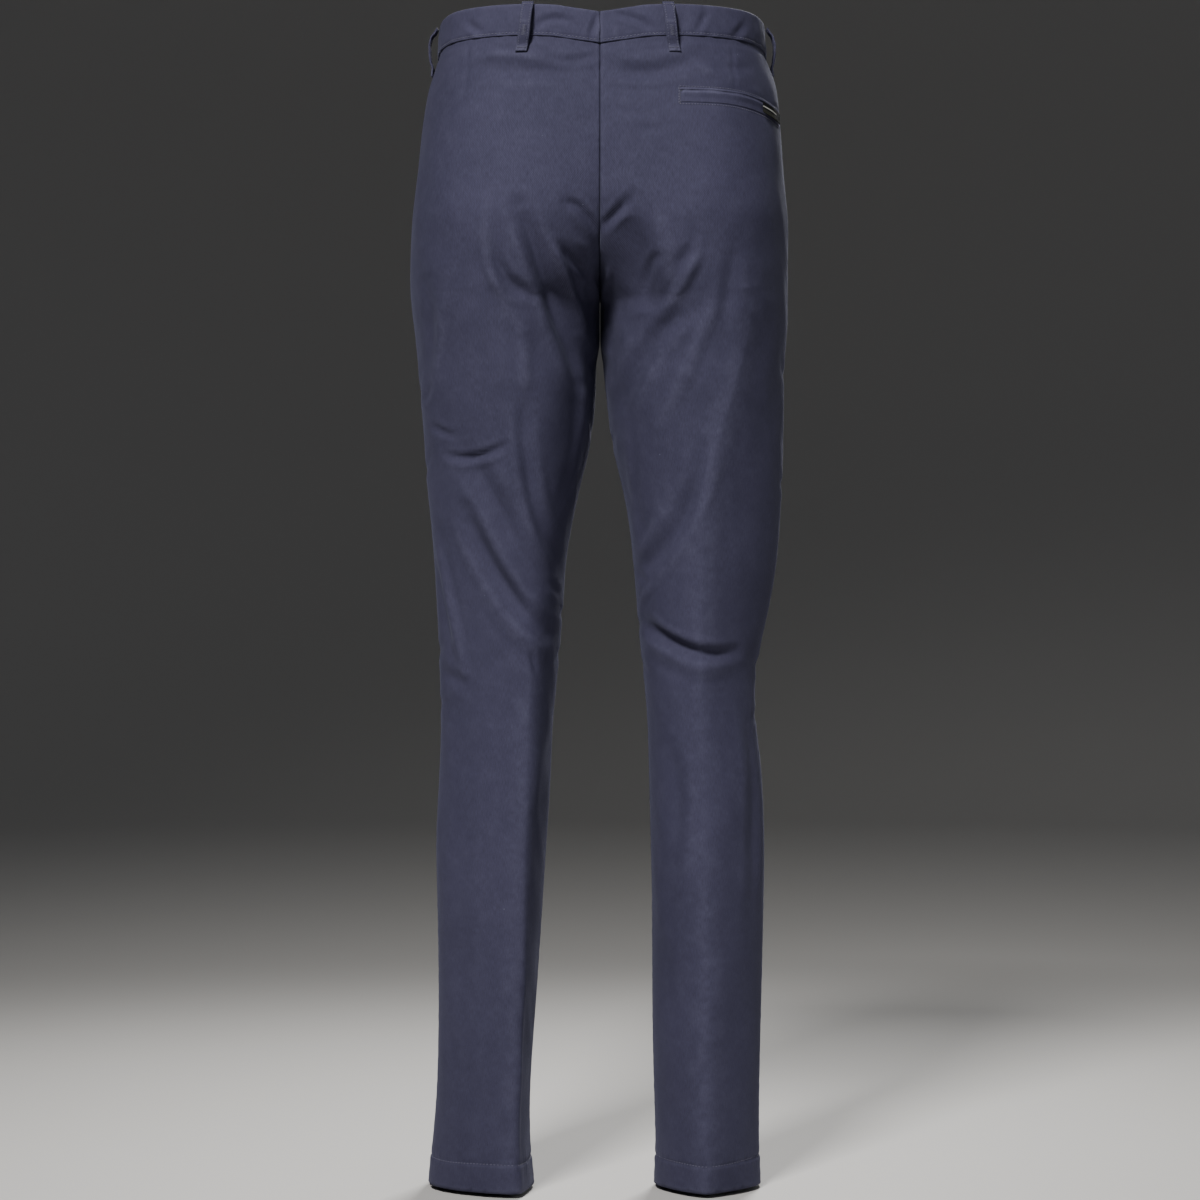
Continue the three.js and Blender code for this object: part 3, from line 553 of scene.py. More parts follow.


# %% [markdown]
# ## Twill
# Cotton twill shows fine slanted ribs. Its colour is never even: ridges, seams and edges are painted
# paler, partly as worn dye and partly as a painted highlight, there are slow cloudy patches and a few
# specks of lint, and a bloom of fibres lights up where the surface turns away. The ribs, slubs and
# fuzz are bump, because they are a fraction of a millimetre high.

# %% Twill
def nodes_of(material):
    material.use_nodes = True
    tree = material.node_tree
    tree.nodes.clear()
    output = tree.nodes.new("ShaderNodeOutputMaterial")
    shader = tree.nodes.new("ShaderNodeBsdfPrincipled")
    tree.links.new(shader.outputs["BSDF"], output.inputs["Surface"])
    return tree, shader


def new_node(tree, kind, **settings):
    node = tree.nodes.new(kind)
    for name, value in settings.items():
        if hasattr(node, name):
            setattr(node, name, value)
        else:
            node.inputs[name.replace("_", " ")].default_value = value
    return node


def mix_colour(tree, share, first, second, blend="MIX"):
    """A Mix node for colours. Each input is a socket or a plain value."""
    node = tree.nodes.new("ShaderNodeMix")
    node.data_type = "RGBA"
    node.blend_type = blend
    for socket, value in ((node.inputs[0], share), (node.inputs[6], first), (node.inputs[7], second)):
        if isinstance(value, bpy.types.NodeSocket):
            tree.links.new(value, socket)
        else:
            socket.default_value = value
    return node.outputs[2]


def maths(tree, operation, first, second=0.0, clamp=False):
    node = tree.nodes.new("ShaderNodeMath")
    node.operation = operation
    node.use_clamp = clamp
    for socket, value in zip(node.inputs, (first, second)):
        if isinstance(value, bpy.types.NodeSocket):
            tree.links.new(value, socket)
        else:
            socket.default_value = value
    return node.outputs[0]


def ramp_between(tree, source, low, high):
    node = new_node(tree, "ShaderNodeMapRange", clamp=True)
    tree.links.new(source, node.inputs["Value"])
    node.inputs["From Min"].default_value = low
    node.inputs["From Max"].default_value = high
    return node.outputs["Result"]


NAVY = (0.056, 0.054, 0.097, 1)
NAVY_DEEP = (0.045, 0.044, 0.080, 1)
# A paler navy for slow patches of tone, for worn dye, and for painted highlights on seams, ridges and edges.
NAVY_PALE_WEAR_AND_HIGHLIGHT = (0.098, 0.097, 0.156, 1)
LINT = (0.30, 0.32, 0.42, 1)
RIB_PITCH = 0.75 * MM


def twill(name, tone=1.0, wear_and_highlight_strength=1.0):
    """Navy cotton twill. tone makes it lighter or darker; the last argument says how strongly seams, ridges and edges
    are painted paler, partly as worn dye and partly as a painted highlight.
    """
    material = bpy.data.materials.new(name)
    tree, shader = nodes_of(material)
    link = tree.links.new
    uv = new_node(tree, "ShaderNodeUVMap", uv_map="cloth").outputs["UV"]
    place = new_node(tree, "ShaderNodeTexCoord").outputs["Object"]

    slanted = new_node(tree, "ShaderNodeMapping")
    slanted.inputs["Rotation"].default_value = (0, 0, math.radians(-33))
    link(uv, slanted.inputs["Vector"])
    ribs = new_node(tree, "ShaderNodeTexWave", wave_type="BANDS", bands_direction="X", wave_profile="SIN")
    ribs.inputs["Scale"].default_value = math.tau / 20 / RIB_PITCH
    ribs.inputs["Distortion"].default_value = 1.2
    ribs.inputs["Detail Scale"].default_value = 0.7
    link(slanted.outputs["Vector"], ribs.inputs["Vector"])

    warp = new_node(tree, "ShaderNodeMapping")
    warp.inputs["Scale"].default_value = (1, 0.12, 1)
    link(uv, warp.inputs["Vector"])
    slubs = new_node(tree, "ShaderNodeTexNoise", Scale=1500.0, Detail=2.0)
    link(warp.outputs["Vector"], slubs.inputs["Vector"])
    clouds = new_node(tree, "ShaderNodeTexNoise", Scale=9.0, Detail=4.0, Roughness=0.62)
    link(place, clouds.inputs["Vector"])
    mottle = new_node(tree, "ShaderNodeTexNoise", Scale=85.0, Detail=5.0, Roughness=0.66)
    link(place, mottle.inputs["Vector"])

    colour = mix_colour(tree, ramp_between(tree, clouds.outputs["Fac"], 0.30, 0.72), NAVY_DEEP, NAVY)
    lighter = maths(tree, "MULTIPLY", ramp_between(tree, mottle.outputs["Fac"], 0.42, 0.80), 0.22)
    colour = mix_colour(tree, lighter, colour, NAVY_PALE_WEAR_AND_HIGHLIGHT)
    # Seams, ridges and edges are painted paler where the cloth's attribute says so: partly worn dye, partly a painted
    # highlight.
    wear_and_highlight = new_node(tree, "ShaderNodeAttribute", attribute_name="wear_and_highlight").outputs["Fac"]
    broken = maths(tree, "MULTIPLY", wear_and_highlight, ramp_between(tree, mottle.outputs["Fac"], 0.25, 0.75))
    colour = mix_colour(tree, maths(tree, "MULTIPLY", broken, wear_and_highlight_strength, clamp=True), colour, NAVY_PALE_WEAR_AND_HIGHLIGHT)
    rib_shade = ramp_between(tree, ribs.outputs["Fac"], -0.6, 1.0)
    slub_shade = ramp_between(tree, slubs.outputs["Fac"], -0.35, 1.0)
    shade = maths(tree, "MULTIPLY", maths(tree, "ADD", maths(tree, "MULTIPLY", rib_shade, slub_shade), 0.42), tone)
    grey = new_node(tree, "ShaderNodeCombineColor")
    for channel in ("Red", "Green", "Blue"):
        link(shade, grey.inputs[channel])
    colour = mix_colour(tree, 1.0, colour, grey.outputs["Color"], "MULTIPLY")

    specks = new_node(tree, "ShaderNodeTexVoronoi", Scale=58.0)
    link(place, specks.inputs["Vector"])
    near_speck = ramp_between(tree, specks.outputs["Distance"], 0.030, 0.014)
    chance = new_node(tree, "ShaderNodeSeparateColor")
    link(specks.outputs["Color"], chance.inputs["Color"])
    speck = maths(tree, "MULTIPLY", near_speck, ramp_between(tree, chance.outputs["Red"], 0.80, 0.86))
    colour = mix_colour(tree, maths(tree, "MULTIPLY", speck, 0.55), colour, LINT)
    link(colour, shader.inputs["Base Color"])

    rough = maths(tree, "ADD", maths(tree, "MULTIPLY", mottle.outputs["Fac"], 0.16), 0.74)
    link(rough, shader.inputs["Roughness"])
    shader.inputs["Specular IOR Level"].default_value = 0.12
    shader.inputs["Sheen Weight"].default_value = 0.05
    shader.inputs["Sheen Roughness"].default_value = 0.42
    shader.inputs["Sheen Tint"].default_value = (0.62, 0.66, 0.95, 1)

    height = maths(tree, "ADD", ribs.outputs["Fac"], maths(tree, "MULTIPLY", slubs.outputs["Fac"], 1.6))
    weave = new_node(tree, "ShaderNodeBump", Strength=0.5, Distance=0.10 * MM)
    link(height, weave.inputs["Height"])
    crumple = new_node(tree, "ShaderNodeBump", Strength=0.35, Distance=0.5 * MM)
    link(mottle.outputs["Fac"], crumple.inputs["Height"])
    link(weave.outputs["Normal"], crumple.inputs["Normal"])
    link(crumple.outputs["Normal"], shader.inputs["Normal"])
    return material


cloth_twill = twill("navy_twill")
band_twill = twill("navy_twill_band", tone=1.06, wear_and_highlight_strength=1.2)
loop_twill = twill("navy_twill_loops", tone=1.0, wear_and_highlight_strength=1.3)
print("twill materials made")


# %% [markdown]
# ## The leg panels
# Each leg has a back and a front panel that meet at the side seam, the inseam and the centre seam.
# The frame's wall is copied, made fine with a Subdivision Surface, and then every point moves a
# little along its normal: in at seams and troughs, out at ridges. Solidify gives the cloth its
# thickness, and more of it at the turned-up hem.

# %% The leg panels
CROTCH_SOFTENED = (-300 * MM, -180 * MM)
SHEET_LEVELS = 3
WELT_INNER, WELT_OUTER = 71.0, 160.0
WELT_TOP, WELT_DROP = -62.0, 10.0


def pocket_line(x, below):
    """Height of the pocket at a distance from the centre line, below the slit by so much, in mm."""
    return WELT_TOP - WELT_DROP * ((x - WELT_INNER) / (WELT_OUTER - WELT_INNER)) ** 4 - below


def face_of(node):
    return node.split("_")[0]


def concentrate(points, away, way, reach=5 * MM):
    """Draws the mesh closer together beside a seam, where the groove needs it."""
    near = (away > 0) & (away < reach)
    share = (away[near] / reach) ** 0.75
    points[near] += way[near] * (1 - share)[:, None]


def dress_panel(node, side, lift=0.0, levels=SHEET_LEVELS):
    bm = outer_sheet(node, inside_leg)
    low, high = CROTCH_SOFTENED
    soft = [v for v in bm.verts if low < v.co.z < high and not v.is_boundary]
    for _ in range(4):
        bmesh.ops.smooth_vert(bm, verts=soft, factor=0.4, use_axis_x=True, use_axis_y=True, use_axis_z=True)
    name = node + "_cloth"
    piece = subdivided(name, bm, levels)
    mesh = piece.data
    ironed = iron_folds(mesh)
    soften_crotch(mesh)
    points, normals = points_of(mesh), normals_of(mesh)
    kinds, lines = edge_places(mesh), edge_lines(mesh)
    to_seam, seam_way = distance_to(lines["seam"], points)
    concentrate(points, to_seam, seam_way)
    to_seam, seam_way = distance_to(lines["seam"], points)
    below_band = distance_to(lines["top"], points)[0]
    creased = all_creases(points, normals, side) * ease(2 * MM, 14 * MM, below_band)
    move = creased + unevenness(points) * ease(0, 30 * MM, np.minimum(to_seam, below_band))
    move -= 0.9 * MM * ease(9 * MM, 3 * MM, below_band)
    move += seam_shape(points, to_seam)
    move += hem_shape(points, side) * ease(HEM + 60 * MM, HEM + 40 * MM, points[:, 2])
    move += 0.35 * MM + lift
    if face_of(node) == "back":
        move += pocket_drawn_in(points, side)
    points = points + normals * move[:, None]
    for kind, (place, index) in [(k, pair) for k in kinds for pair in kinds[k]]:
        if kind != "top":
            points[index] += outward_edge_step(points[index], normals[index], side)
        else:
            points[index, 2] += 4 * MM
            points[index] -= normals[index] * 0.8 * MM
    points[:, 0] = thighs_closed(points)
    put_points(mesh, points)
    # Paler cloth just beside each seam and on raised creases, partly worn dye and partly a painted highlight; the
    # hem's folded edge and its stitch line are paler too.
    wear_and_highlight = 0.22 * np.exp(-(((to_seam - 2.5 * MM) / (1.6 * MM)) ** 2)) + 0.3 * np.clip(creased / (1.2 * MM), 0, 1)
    hem_edge = np.exp(-(((points[:, 2] - HEM) / (4 * MM)) ** 2))
    hem_stitch = np.exp(-(((points[:, 2] - HEM - HEM_DEPTH) / (3 * MM)) ** 2))
    put_attribute(mesh, "wear_and_highlight", np.clip(wear_and_highlight + 0.4 * hem_edge + 0.15 * hem_stitch, 0, 1))
    give_cloth_map(mesh, side)
    group = piece.vertex_groups.new(name="hem")
    for index in np.flatnonzero(points[:, 2] < HEM + HEM_DEPTH):
        group.add([int(index)], 1.0, "REPLACE")
    wall = add_solidify(piece, 2 * CLOTH)
    wall.vertex_group = "hem"
    wall.thickness_vertex_group = 0.5
    mesh.materials.append(cloth_twill)
    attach(piece, "root")
    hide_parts(node)
    print(name, len(mesh.polygons), "faces on the outside,", ironed, "sharp edges ironed")
    return piece


def soften_crotch(mesh, passes=60):
    """Takes the edge off the change of form at the crotch, in bands that grow narrower."""
    bm = bmesh.new()
    bm.from_mesh(mesh)
    near = [v for v in bm.verts if abs(v.co.z - CROTCH) < 48 * MM and not v.is_boundary]
    for k in range(passes):
        reach = (48 - 36 * k / passes) * MM
        band = [v for v in near if abs(v.co.z - CROTCH) < reach]
        bmesh.ops.smooth_vert(bm, verts=band, factor=0.5, use_axis_x=True, use_axis_y=True, use_axis_z=True)
    bm.to_mesh(mesh)
    bm.free()
    mesh.update()


def pocket_drawn_in(points, side):
    """Round the right hip's pocket the stitches draw the cloth in and pucker it."""
    if side == "left":
        return 0
    x, z = -points[:, 0] / MM, points[:, 2] / MM
    above = z - pocket_line(x, 0)
    beside = ease(WELT_INNER - 2, WELT_INNER + 1, x) * ease(WELT_OUTER + 2, WELT_OUTER - 1, x) * (points[:, 1] > 0)
    row = 0.5 * np.exp(-(((above - 4.6) / 2) ** 2)) + 0.5 * np.exp(-(((above + 11.2) / 2) ** 2))
    puckers = 0.4 * np.sin(x / 3.4 + 1.6 * np.sin(x / 13)) * np.exp(-(((above - 8) / 4) ** 2))
    return (puckers - row) * beside * MM


def thighs_closed(points):
    """Just under the crotch the inner thighs lie against each other, so no light passes there."""
    across = np.abs(points[:, 0])
    open_share = ease(-268 * MM, -296 * MM, points[:, 2])
    wide = ease(3 * MM, 12 * MM, across)
    share = np.maximum(open_share, wide)
    share = np.maximum(share, ease(CROTCH - 4 * MM, CROTCH + 30 * MM, points[:, 2]))
    return np.sign(points[:, 0]) * (np.minimum(across, 0.25 * MM) * (1 - share) + across * share)


def outward_edge_step(point, normal, side):
    """Half the frame's gap, sideways in the cloth, towards the panel on the other side of the seam."""
    if abs(point[0]) < 1.2 * MM and point[2] > CROTCH:
        return np.array([-SIDES[side] * abs(point[0]), 0, 0])
    if abs(point[1]) < 1.2 * MM and point[2] < CROTCH:
        return np.array([0, -point[1], 0])
    return np.zeros(3)


panels = {}
for side in SIDES:
    for face in ("back", "front"):
        panels[face, side] = dress_panel(f"{face}_{side}", side)
    panels["facing", side] = dress_panel(f"pocket_facing_{side}", side, lift=0.4 * MM, levels=2)


# %% [markdown]
# ## Studio
# A plain pale floor that curves up all round, so that every side view has the same ground, and
# soft lights: a strong one high on the camera's left and a weak one low on its right, so that each
# fold has a lit side and a dark side. The same pair stands in front for the other views.

# %% Studio
FLOOR = HEM - 4 * MM
STUDIO_RADIUS = 7.0


def studio_material(pale, grey, low, high):
    """Pale on the floor and grey on the wall, with a slow change between two heights."""
    material = bpy.data.materials.new("pale_floor")
    tree, shader = nodes_of(material)
    parts = new_node(tree, "ShaderNodeSeparateXYZ")
    tree.links.new(new_node(tree, "ShaderNodeTexCoord").outputs["Object"], parts.inputs["Vector"])
    share = ramp_between(tree, parts.outputs["Z"], low, high)
    tree.links.new(mix_colour(tree, share, pale, grey), shader.inputs["Base Color"])
    shader.inputs["Roughness"].default_value = 0.9
    return material


def make_studio():
    bm = bmesh.new()
    bmesh.ops.create_circle(bm, cap_ends=True, segments=64, radius=STUDIO_RADIUS - 2)
    rim = [e for e in bm.edges if e.is_boundary]
    for angle in range(10, 91, 10):
        turned = math.radians(angle)
        made = bmesh.ops.extrude_edge_only(bm, edges=rim)
        verts = [v for v in made["geom"] if isinstance(v, bmesh.types.BMVert)]
        reach = STUDIO_RADIUS - 2 + 2 * math.sin(turned)
        for v in verts:
            flat = Vector((v.co.x, v.co.y, 0)).normalized() * reach
            v.co = (flat.x, flat.y, 2 * (1 - math.cos(turned)))
        rim = [e for e in made["geom"] if isinstance(e, bmesh.types.BMEdge) and e.is_boundary]
    made = bmesh.ops.extrude_edge_only(bm, edges=rim)
    bmesh.ops.translate(bm, verts=[v for v in made["geom"] if isinstance(v, bmesh.types.BMVert)], vec=(0, 0, 3))
    bmesh.ops.translate(bm, verts=bm.verts, vec=(0, 0, FLOOR))
    bmesh.ops.recalc_face_normals(bm, faces=bm.faces)
    studio = make_object("studio", bm)
    shade_smooth(studio.data)
    studio.data.materials.append(studio_material((0.58, 0.57, 0.55, 1), (0.56, 0.55, 0.54, 1), FLOOR, FLOOR + 1.0))
    studio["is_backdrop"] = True
    return studio


def soft_light(name, place, target, size, power, colour=(1, 1, 1)):
    light = bpy.data.lights.new(name, "AREA")
    light.shape = "SQUARE"
    light.size = size
    light.spread = math.radians(50)
    light.energy = power
    light.color = colour
    lamp = bpy.data.objects.new(name, light)
    lamp.location = place
    lamp.rotation_euler = (Vector(target) - Vector(place)).to_track_quat("-Z", "Y").to_euler()
    bpy.context.scene.collection.objects.link(lamp)
    return lamp


make_studio()
MIDDLE = (0, 0, -0.4)
LIGHTS = [
    ("key_light", (1.0, 3.0, 2.2), 0.8, 18, (1, 0.98, 0.96)),
    ("fill_light", (-2.6, 2.6, 0.2), 1.6, 1.0, (0.95, 0.97, 1)),
    ("front_key_light", (-0.8, -3.0, 2.0), 0.8, 18, (1, 0.99, 0.98)),
    ("front_fill_light", (-2.4, -2.2, 0.3), 1.2, 1.0, (0.95, 0.97, 1)),
]
for name, place, size, power, colour in LIGHTS:
    soft_light(name, place, MIDDLE, size, power, colour)
world = bpy.data.worlds.new("studio_air")
world.use_nodes = True
world.node_tree.nodes["Background"].inputs["Color"].default_value = (0.86, 0.88, 0.92, 1)
world.node_tree.nodes["Background"].inputs["Strength"].default_value = 0.12
bpy.context.scene.world = world
print("studio floor at", round(FLOOR, 4))


# %% [markdown]
# ## Waistband
# The band is two layers of twill with stiffening, folded over at its top edge. It puckers where it
# is stitched down, and it has a seam at the centre back. Its outer face comes from the frame like
# the panels' and its edges are rolled in, so that they look folded rather than cut.

# %% Waistband
BAND_WALL = 2.6 * MM
BAND_EDGE = 1.6 * MM
BAND_CREASES = [
    Crease("left", "back", 1, 12, 4, 0, 8, -12, 3.5, -1.3, 0),
    Crease("left", "back", 118, 8, 112, -1, 104, -6, 4, -1.2, 0),
    Crease("left", "back", 60, -7, 42, 3, 22, -2, 4, -1.1, 0),
    Crease("left", "back", 88, 10, 84, 2, 86, -8, 4, -0.7, 0),
    Crease("right", "back", 10, 9, 30, 3, 48, -6, 4, -1.2, 0),
    Crease("right", "back", 92, 11, 90, 2, 85, -7, 3.5, -1.2, 0),
    Crease("right", "back", 128, 6, 124, -2, 118, -9, 4, -1.1, 0),
    Crease("right", "back", 70, 9, 74, 1, 70, -8, 4, -0.6, 0),
    Crease("left", "front", 84, 4, 78, -6, 80, -16, 4, -1.0, 0),
    Crease("left", "front", 116, 6, 108, -2, 104, -12, 4, -1.1, 0),
    Crease("right", "front", 80, 2, 88, -6, 84, -16, 4, -1.0, 0),
    Crease("right", "front", 120, 6, 114, 0, 112, -10, 4, -1.1, 0),
]


def round_edge(points, normals, away, radius):
    """Turns the cloth in along its edge, on a quarter circle."""
    inside = np.clip(1 - away / radius, 0, 1)
    return points - normals * (radius * (1 - np.sqrt(1 - inside**2)))[:, None]


def dress_band(side):
    node = f"waistband_{side}"
    piece = subdivided(node + "_cloth", outer_sheet(node, inside_waist), 3)
    mesh = piece.data
    points, normals = points_of(mesh), normals_of(mesh)
    rim = [place for row in edge_lines(mesh).values() for place in row]
    away, way = distance_to(rim, points)
    concentrate(points, away, way, 4 * MM)
    away, way = distance_to(rim, points)
    around = np.arctan2(points[:, 0], points[:, 1]) * 135
    height = points[:, 2] / MM
    ripple = np.sin(around / 2.7 + 1.8 * np.sin(around / 15)) * np.sin(around / 9.1 + 0.6)
    low_row = np.exp(-(((height + 11) / 6) ** 2))
    high_row = np.exp(-(((height - 10) / 6) ** 2))
    dents = 0.45 * np.sin(around / 13 + 2 * np.sin(around / 41)) * np.exp(-(((height - 1) / 6) ** 2))
    move = (0.50 * ripple * low_row + 0.30 * ripple * high_row + dents) * MM
    stitch_row = np.exp(-(((height - band_level(points) + 11.6) / 1.0) ** 2))
    move += 1.5 * all_creases(points, normals, side, BAND_CREASES)
    points = points + normals * (move - 0.8 * MM * stitch_row + 0.3 * MM)[:, None]
    points = round_edge(points, normals, away, BAND_EDGE)
    near_centre = (np.abs(points[:, 0]) < 0.6 * MM) & (points[:, 1] > 0)
    points[near_centre, 0] = 0
    put_points(mesh, points)
    # Paler along the band's rolled edges, partly worn dye and partly a painted highlight, and a painted highlight on
    # the crests of the puckers above the lower stitch row.
    wear_and_highlight = 0.45 * np.exp(-((away / (2.0 * MM)) ** 2)) + 0.3 * np.clip(ripple, 0, 1) * low_row
    put_attribute(mesh, "wear_and_highlight", np.clip(wear_and_highlight, 0, 1))
    put_map(mesh, np.column_stack([around * MM, points[:, 2]]))
    add_solidify(piece, BAND_WALL)
    mesh.materials.append(band_twill)
    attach(piece, "root")
    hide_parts(node)
    return piece


def band_level(points):
    """How far the band lies above or below level, in mm, by its place round the waist."""
    turned = np.degrees(np.arctan2(np.abs(points[:, 0]), points[:, 1]))
    angles = [0, 12, 22, 36, 62, 76, 88, 100, 120, 150, 180]
    lifts = [-4, -1, 2, 3, 3, 1, -2, -4.5, -8, -12.5, -15]
    return np.interp(turned, angles, lifts)


bands = {side: dress_band(side) for side in SIDES}
print("waistband:", [len(b.data.polygons) for b in bands.values()], "faces")

# %% [markdown]
# ## Finding places on the sewn cloth
# Stitches, the pocket and the button have to lie exactly on the finished cloth. A BVH tree finds
# where a straight line meets a mesh, so each small piece is dropped onto the cloth from outside.

# %% Finding places on the sewn cloth
def tree_of(*pieces):
    """A BVH tree of the outer faces of some pieces, before Solidify."""
    corners, faces = [], []
    for piece in pieces:
        first = len(corners)
        corners += [v.co.copy() for v in piece.data.vertices]
        faces += [[first + k for k in polygon.vertices] for polygon in piece.data.polygons]
    return BVHTree.FromPolygons(corners, faces)


def drop(tree, start, way):
    """The place and the outward direction where a line from start first meets the tree's cloth."""
    way = Vector(way).normalized()
    place, normal, _, _ = tree.ray_cast(Vector(start), way)
    if place is None:
        return None
    return place, (normal if normal.dot(way) < 0 else -normal)


def drop_path(tree, lines):
    """A list of (place, normal) for lines of (start, way), without those that miss."""
    return [found for start, way in lines if (found := drop(tree, start, way))]


def nearest_on(tree, place, reach=4 * MM):
    """The nearest place on the tree's cloth, with its outward direction, or None if it's far."""
    found, normal, _, away = tree.find_nearest(place)
    if found is None or away > reach:
        return None
    outward = normal.dot(Vector((found.x, found.y, 0))) > 0
    return found, (normal if outward else -normal)


BEHIND = 0.4
back_tree = tree_of(panels["back", "left"], panels["back", "right"])
front_tree = tree_of(panels["front", "left"], panels["front", "right"])
band_tree = tree_of(*bands.values())


def on_back(x, z):
    return (x * MM, BEHIND, z * MM), (0, -1, 0)


def on_front(x, z):
    return (x * MM, -BEHIND, z * MM), (0, 1, 0)


# %% [markdown]
# ## Stitches
# A stitch is a short piece of thread, pulled down at both ends. Each one is a small ball of twenty
# faces, stretched along the row and pressed into the cloth, so that thousands of them stay light.

# %% Stitches
STITCH = 2.1 * MM
STITCH_PITCH = 3.3 * MM
THREAD = 0.8 * MM


def thread_material(name, colour):
    material = bpy.data.materials.new(name)
    tree, shader = nodes_of(material)
    place = new_node(tree, "ShaderNodeTexCoord").outputs["Object"]
    twist = new_node(tree, "ShaderNodeTexNoise", Scale=2600.0, Detail=1.0)
    tree.links.new(place, twist.inputs["Vector"])
    dark = tuple(c * 0.55 for c in colour[:3]) + (1,)
    tree.links.new(mix_colour(tree, twist.outputs["Fac"], dark, colour), shader.inputs["Base Color"])
    shader.inputs["Roughness"].default_value = 0.55
    shader.inputs["Sheen Weight"].default_value = 0.2
    return material


navy_thread = thread_material("navy_thread", (0.108, 0.106, 0.170, 1))


def add_stitches(bm, path, pitch=STITCH_PITCH, length=STITCH, thick=THREAD, sink=0.1):
    """Stitches along a path of (place, normal)."""
    places = np.array([p for p, _ in path])
    steps = np.linalg.norm(np.diff(places, axis=0), axis=1)
    reached = np.concatenate([[0], np.cumsum(steps)])
    count = max(1, round(reached[-1] / pitch))
    normals = np.array([n for _, n in path])
    for k in range(count):
        at = (k + 0.5) * reached[-1] / count
        here, ahead = (np.array([np.interp(d, reached, places[:, i]) for i in range(3)]) for d in (at - length / 3, at + length / 3))
        up = Vector([np.interp(at, reached, normals[:, i]) for i in range(3)]).normalized()
        along = Vector(ahead - here)
        if along.length < 1e-7:
            continue
        along = (along - up * along.dot(up)).normalized()
        across = up.cross(along)
        turn = Matrix((along, across, up)).transposed().to_4x4()
        middle = Vector((here + ahead) / 2) + up * (thick * (0.35 - sink))
        shape = Matrix.Diagonal((length / 2, thick / 2, thick * 0.38, 1))
        bmesh.ops.create_icosphere(bm, subdivisions=1, radius=1, matrix=Matrix.Translation(middle) @ turn @ shape)


def add_bar_tack(bm, tree, start, end, way, passes=9, wide=1.6 * MM):
    """A short dense zigzag from start to end, dropped onto the cloth."""
    start, end = Vector(start), Vector(end)
    side = (end - start).normalized().cross(Vector(way)).normalized() * wide / 2
    path = []
    for k in range(passes * 2 + 1):
        place = start.lerp(end, k / (passes * 2)) + side * (1 if k % 2 else -1)
        found = drop(tree, place, way)
        if found:
            path.append(found)
    add_zigzag(bm, path)


def add_zigzag(bm, path):
    for first, second in zip(path, path[1:]):
        reach = (second[0] - first[0]).length
        add_stitches(bm, [first, second], pitch=1, length=reach * 1.15, thick=0.5 * MM, sink=-0.1)


def finish_stitches(name, bm, material=navy_thread):
    piece = make_object(name, bm)
    shade_smooth(piece.data)
    piece.data.materials.append(material)
    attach(piece, "root")
    print(name, len(piece.data.polygons) // 20, "stitches")
    return piece


def round_the_waist(height, steps=180):
    """Lines that meet the band at a height on it, all the way round, from the centre back."""
    lines = []
    for k in range(steps + 1):
        angle = math.tau * k / steps
        out = Vector((math.sin(angle), math.cos(angle), 0))
        first = drop(band_tree, (out.x * 0.3, out.y * 0.3, band_level(np.array([out]))[0] * MM), -out)
        level = band_level(np.array([first[0]]))[0]
        lines.append(((out.x * 0.3, out.y * 0.3, (height + level) * MM), -out))
    return lines


bm = bmesh.new()
add_stitches(bm, drop_path(band_tree, round_the_waist(-11.6)))
band_stitches = finish_stitches("waistband_stitches", bm)


def round_the_hem(side, steps=72):
    lines = []
    for k in range(steps + 1):
        angle = math.tau * k / steps
        out = Vector((math.sin(angle), math.cos(angle), 0))
        middle = Vector((SIDES[side] * 0.102, 0.003, 0))
        start = middle + out * 0.09
        height = float(hem_line(np.array([start]), side)[0])
        lines.append(((start.x, start.y, height), -out))
    return lines


bm = bmesh.new()
for side in SIDES:
    leg_tree = tree_of(panels["back", side], panels["front", side])
    add_stitches(bm, drop_path(leg_tree, round_the_hem(side)))
hem_stitches = finish_stitches("hem_stitches", bm)


# %% [markdown]
# ## Belt loops
# A belt loop is a narrow strap of folded twill with two rows of stitches. Both its ends are turned
# under and tacked with a dense zigzag. The frame gives its bowed form. Here it gets rounded edges,
# the step where its end is folded over, and its stitches.

# %% Belt loops
LOOP_CLOTH = 1.6 * MM
LOOP_FOLD = -4.0  # height of the step in mm, where the folded end begins
LOOP_TURN = -23.5  # below this the strap is turned out


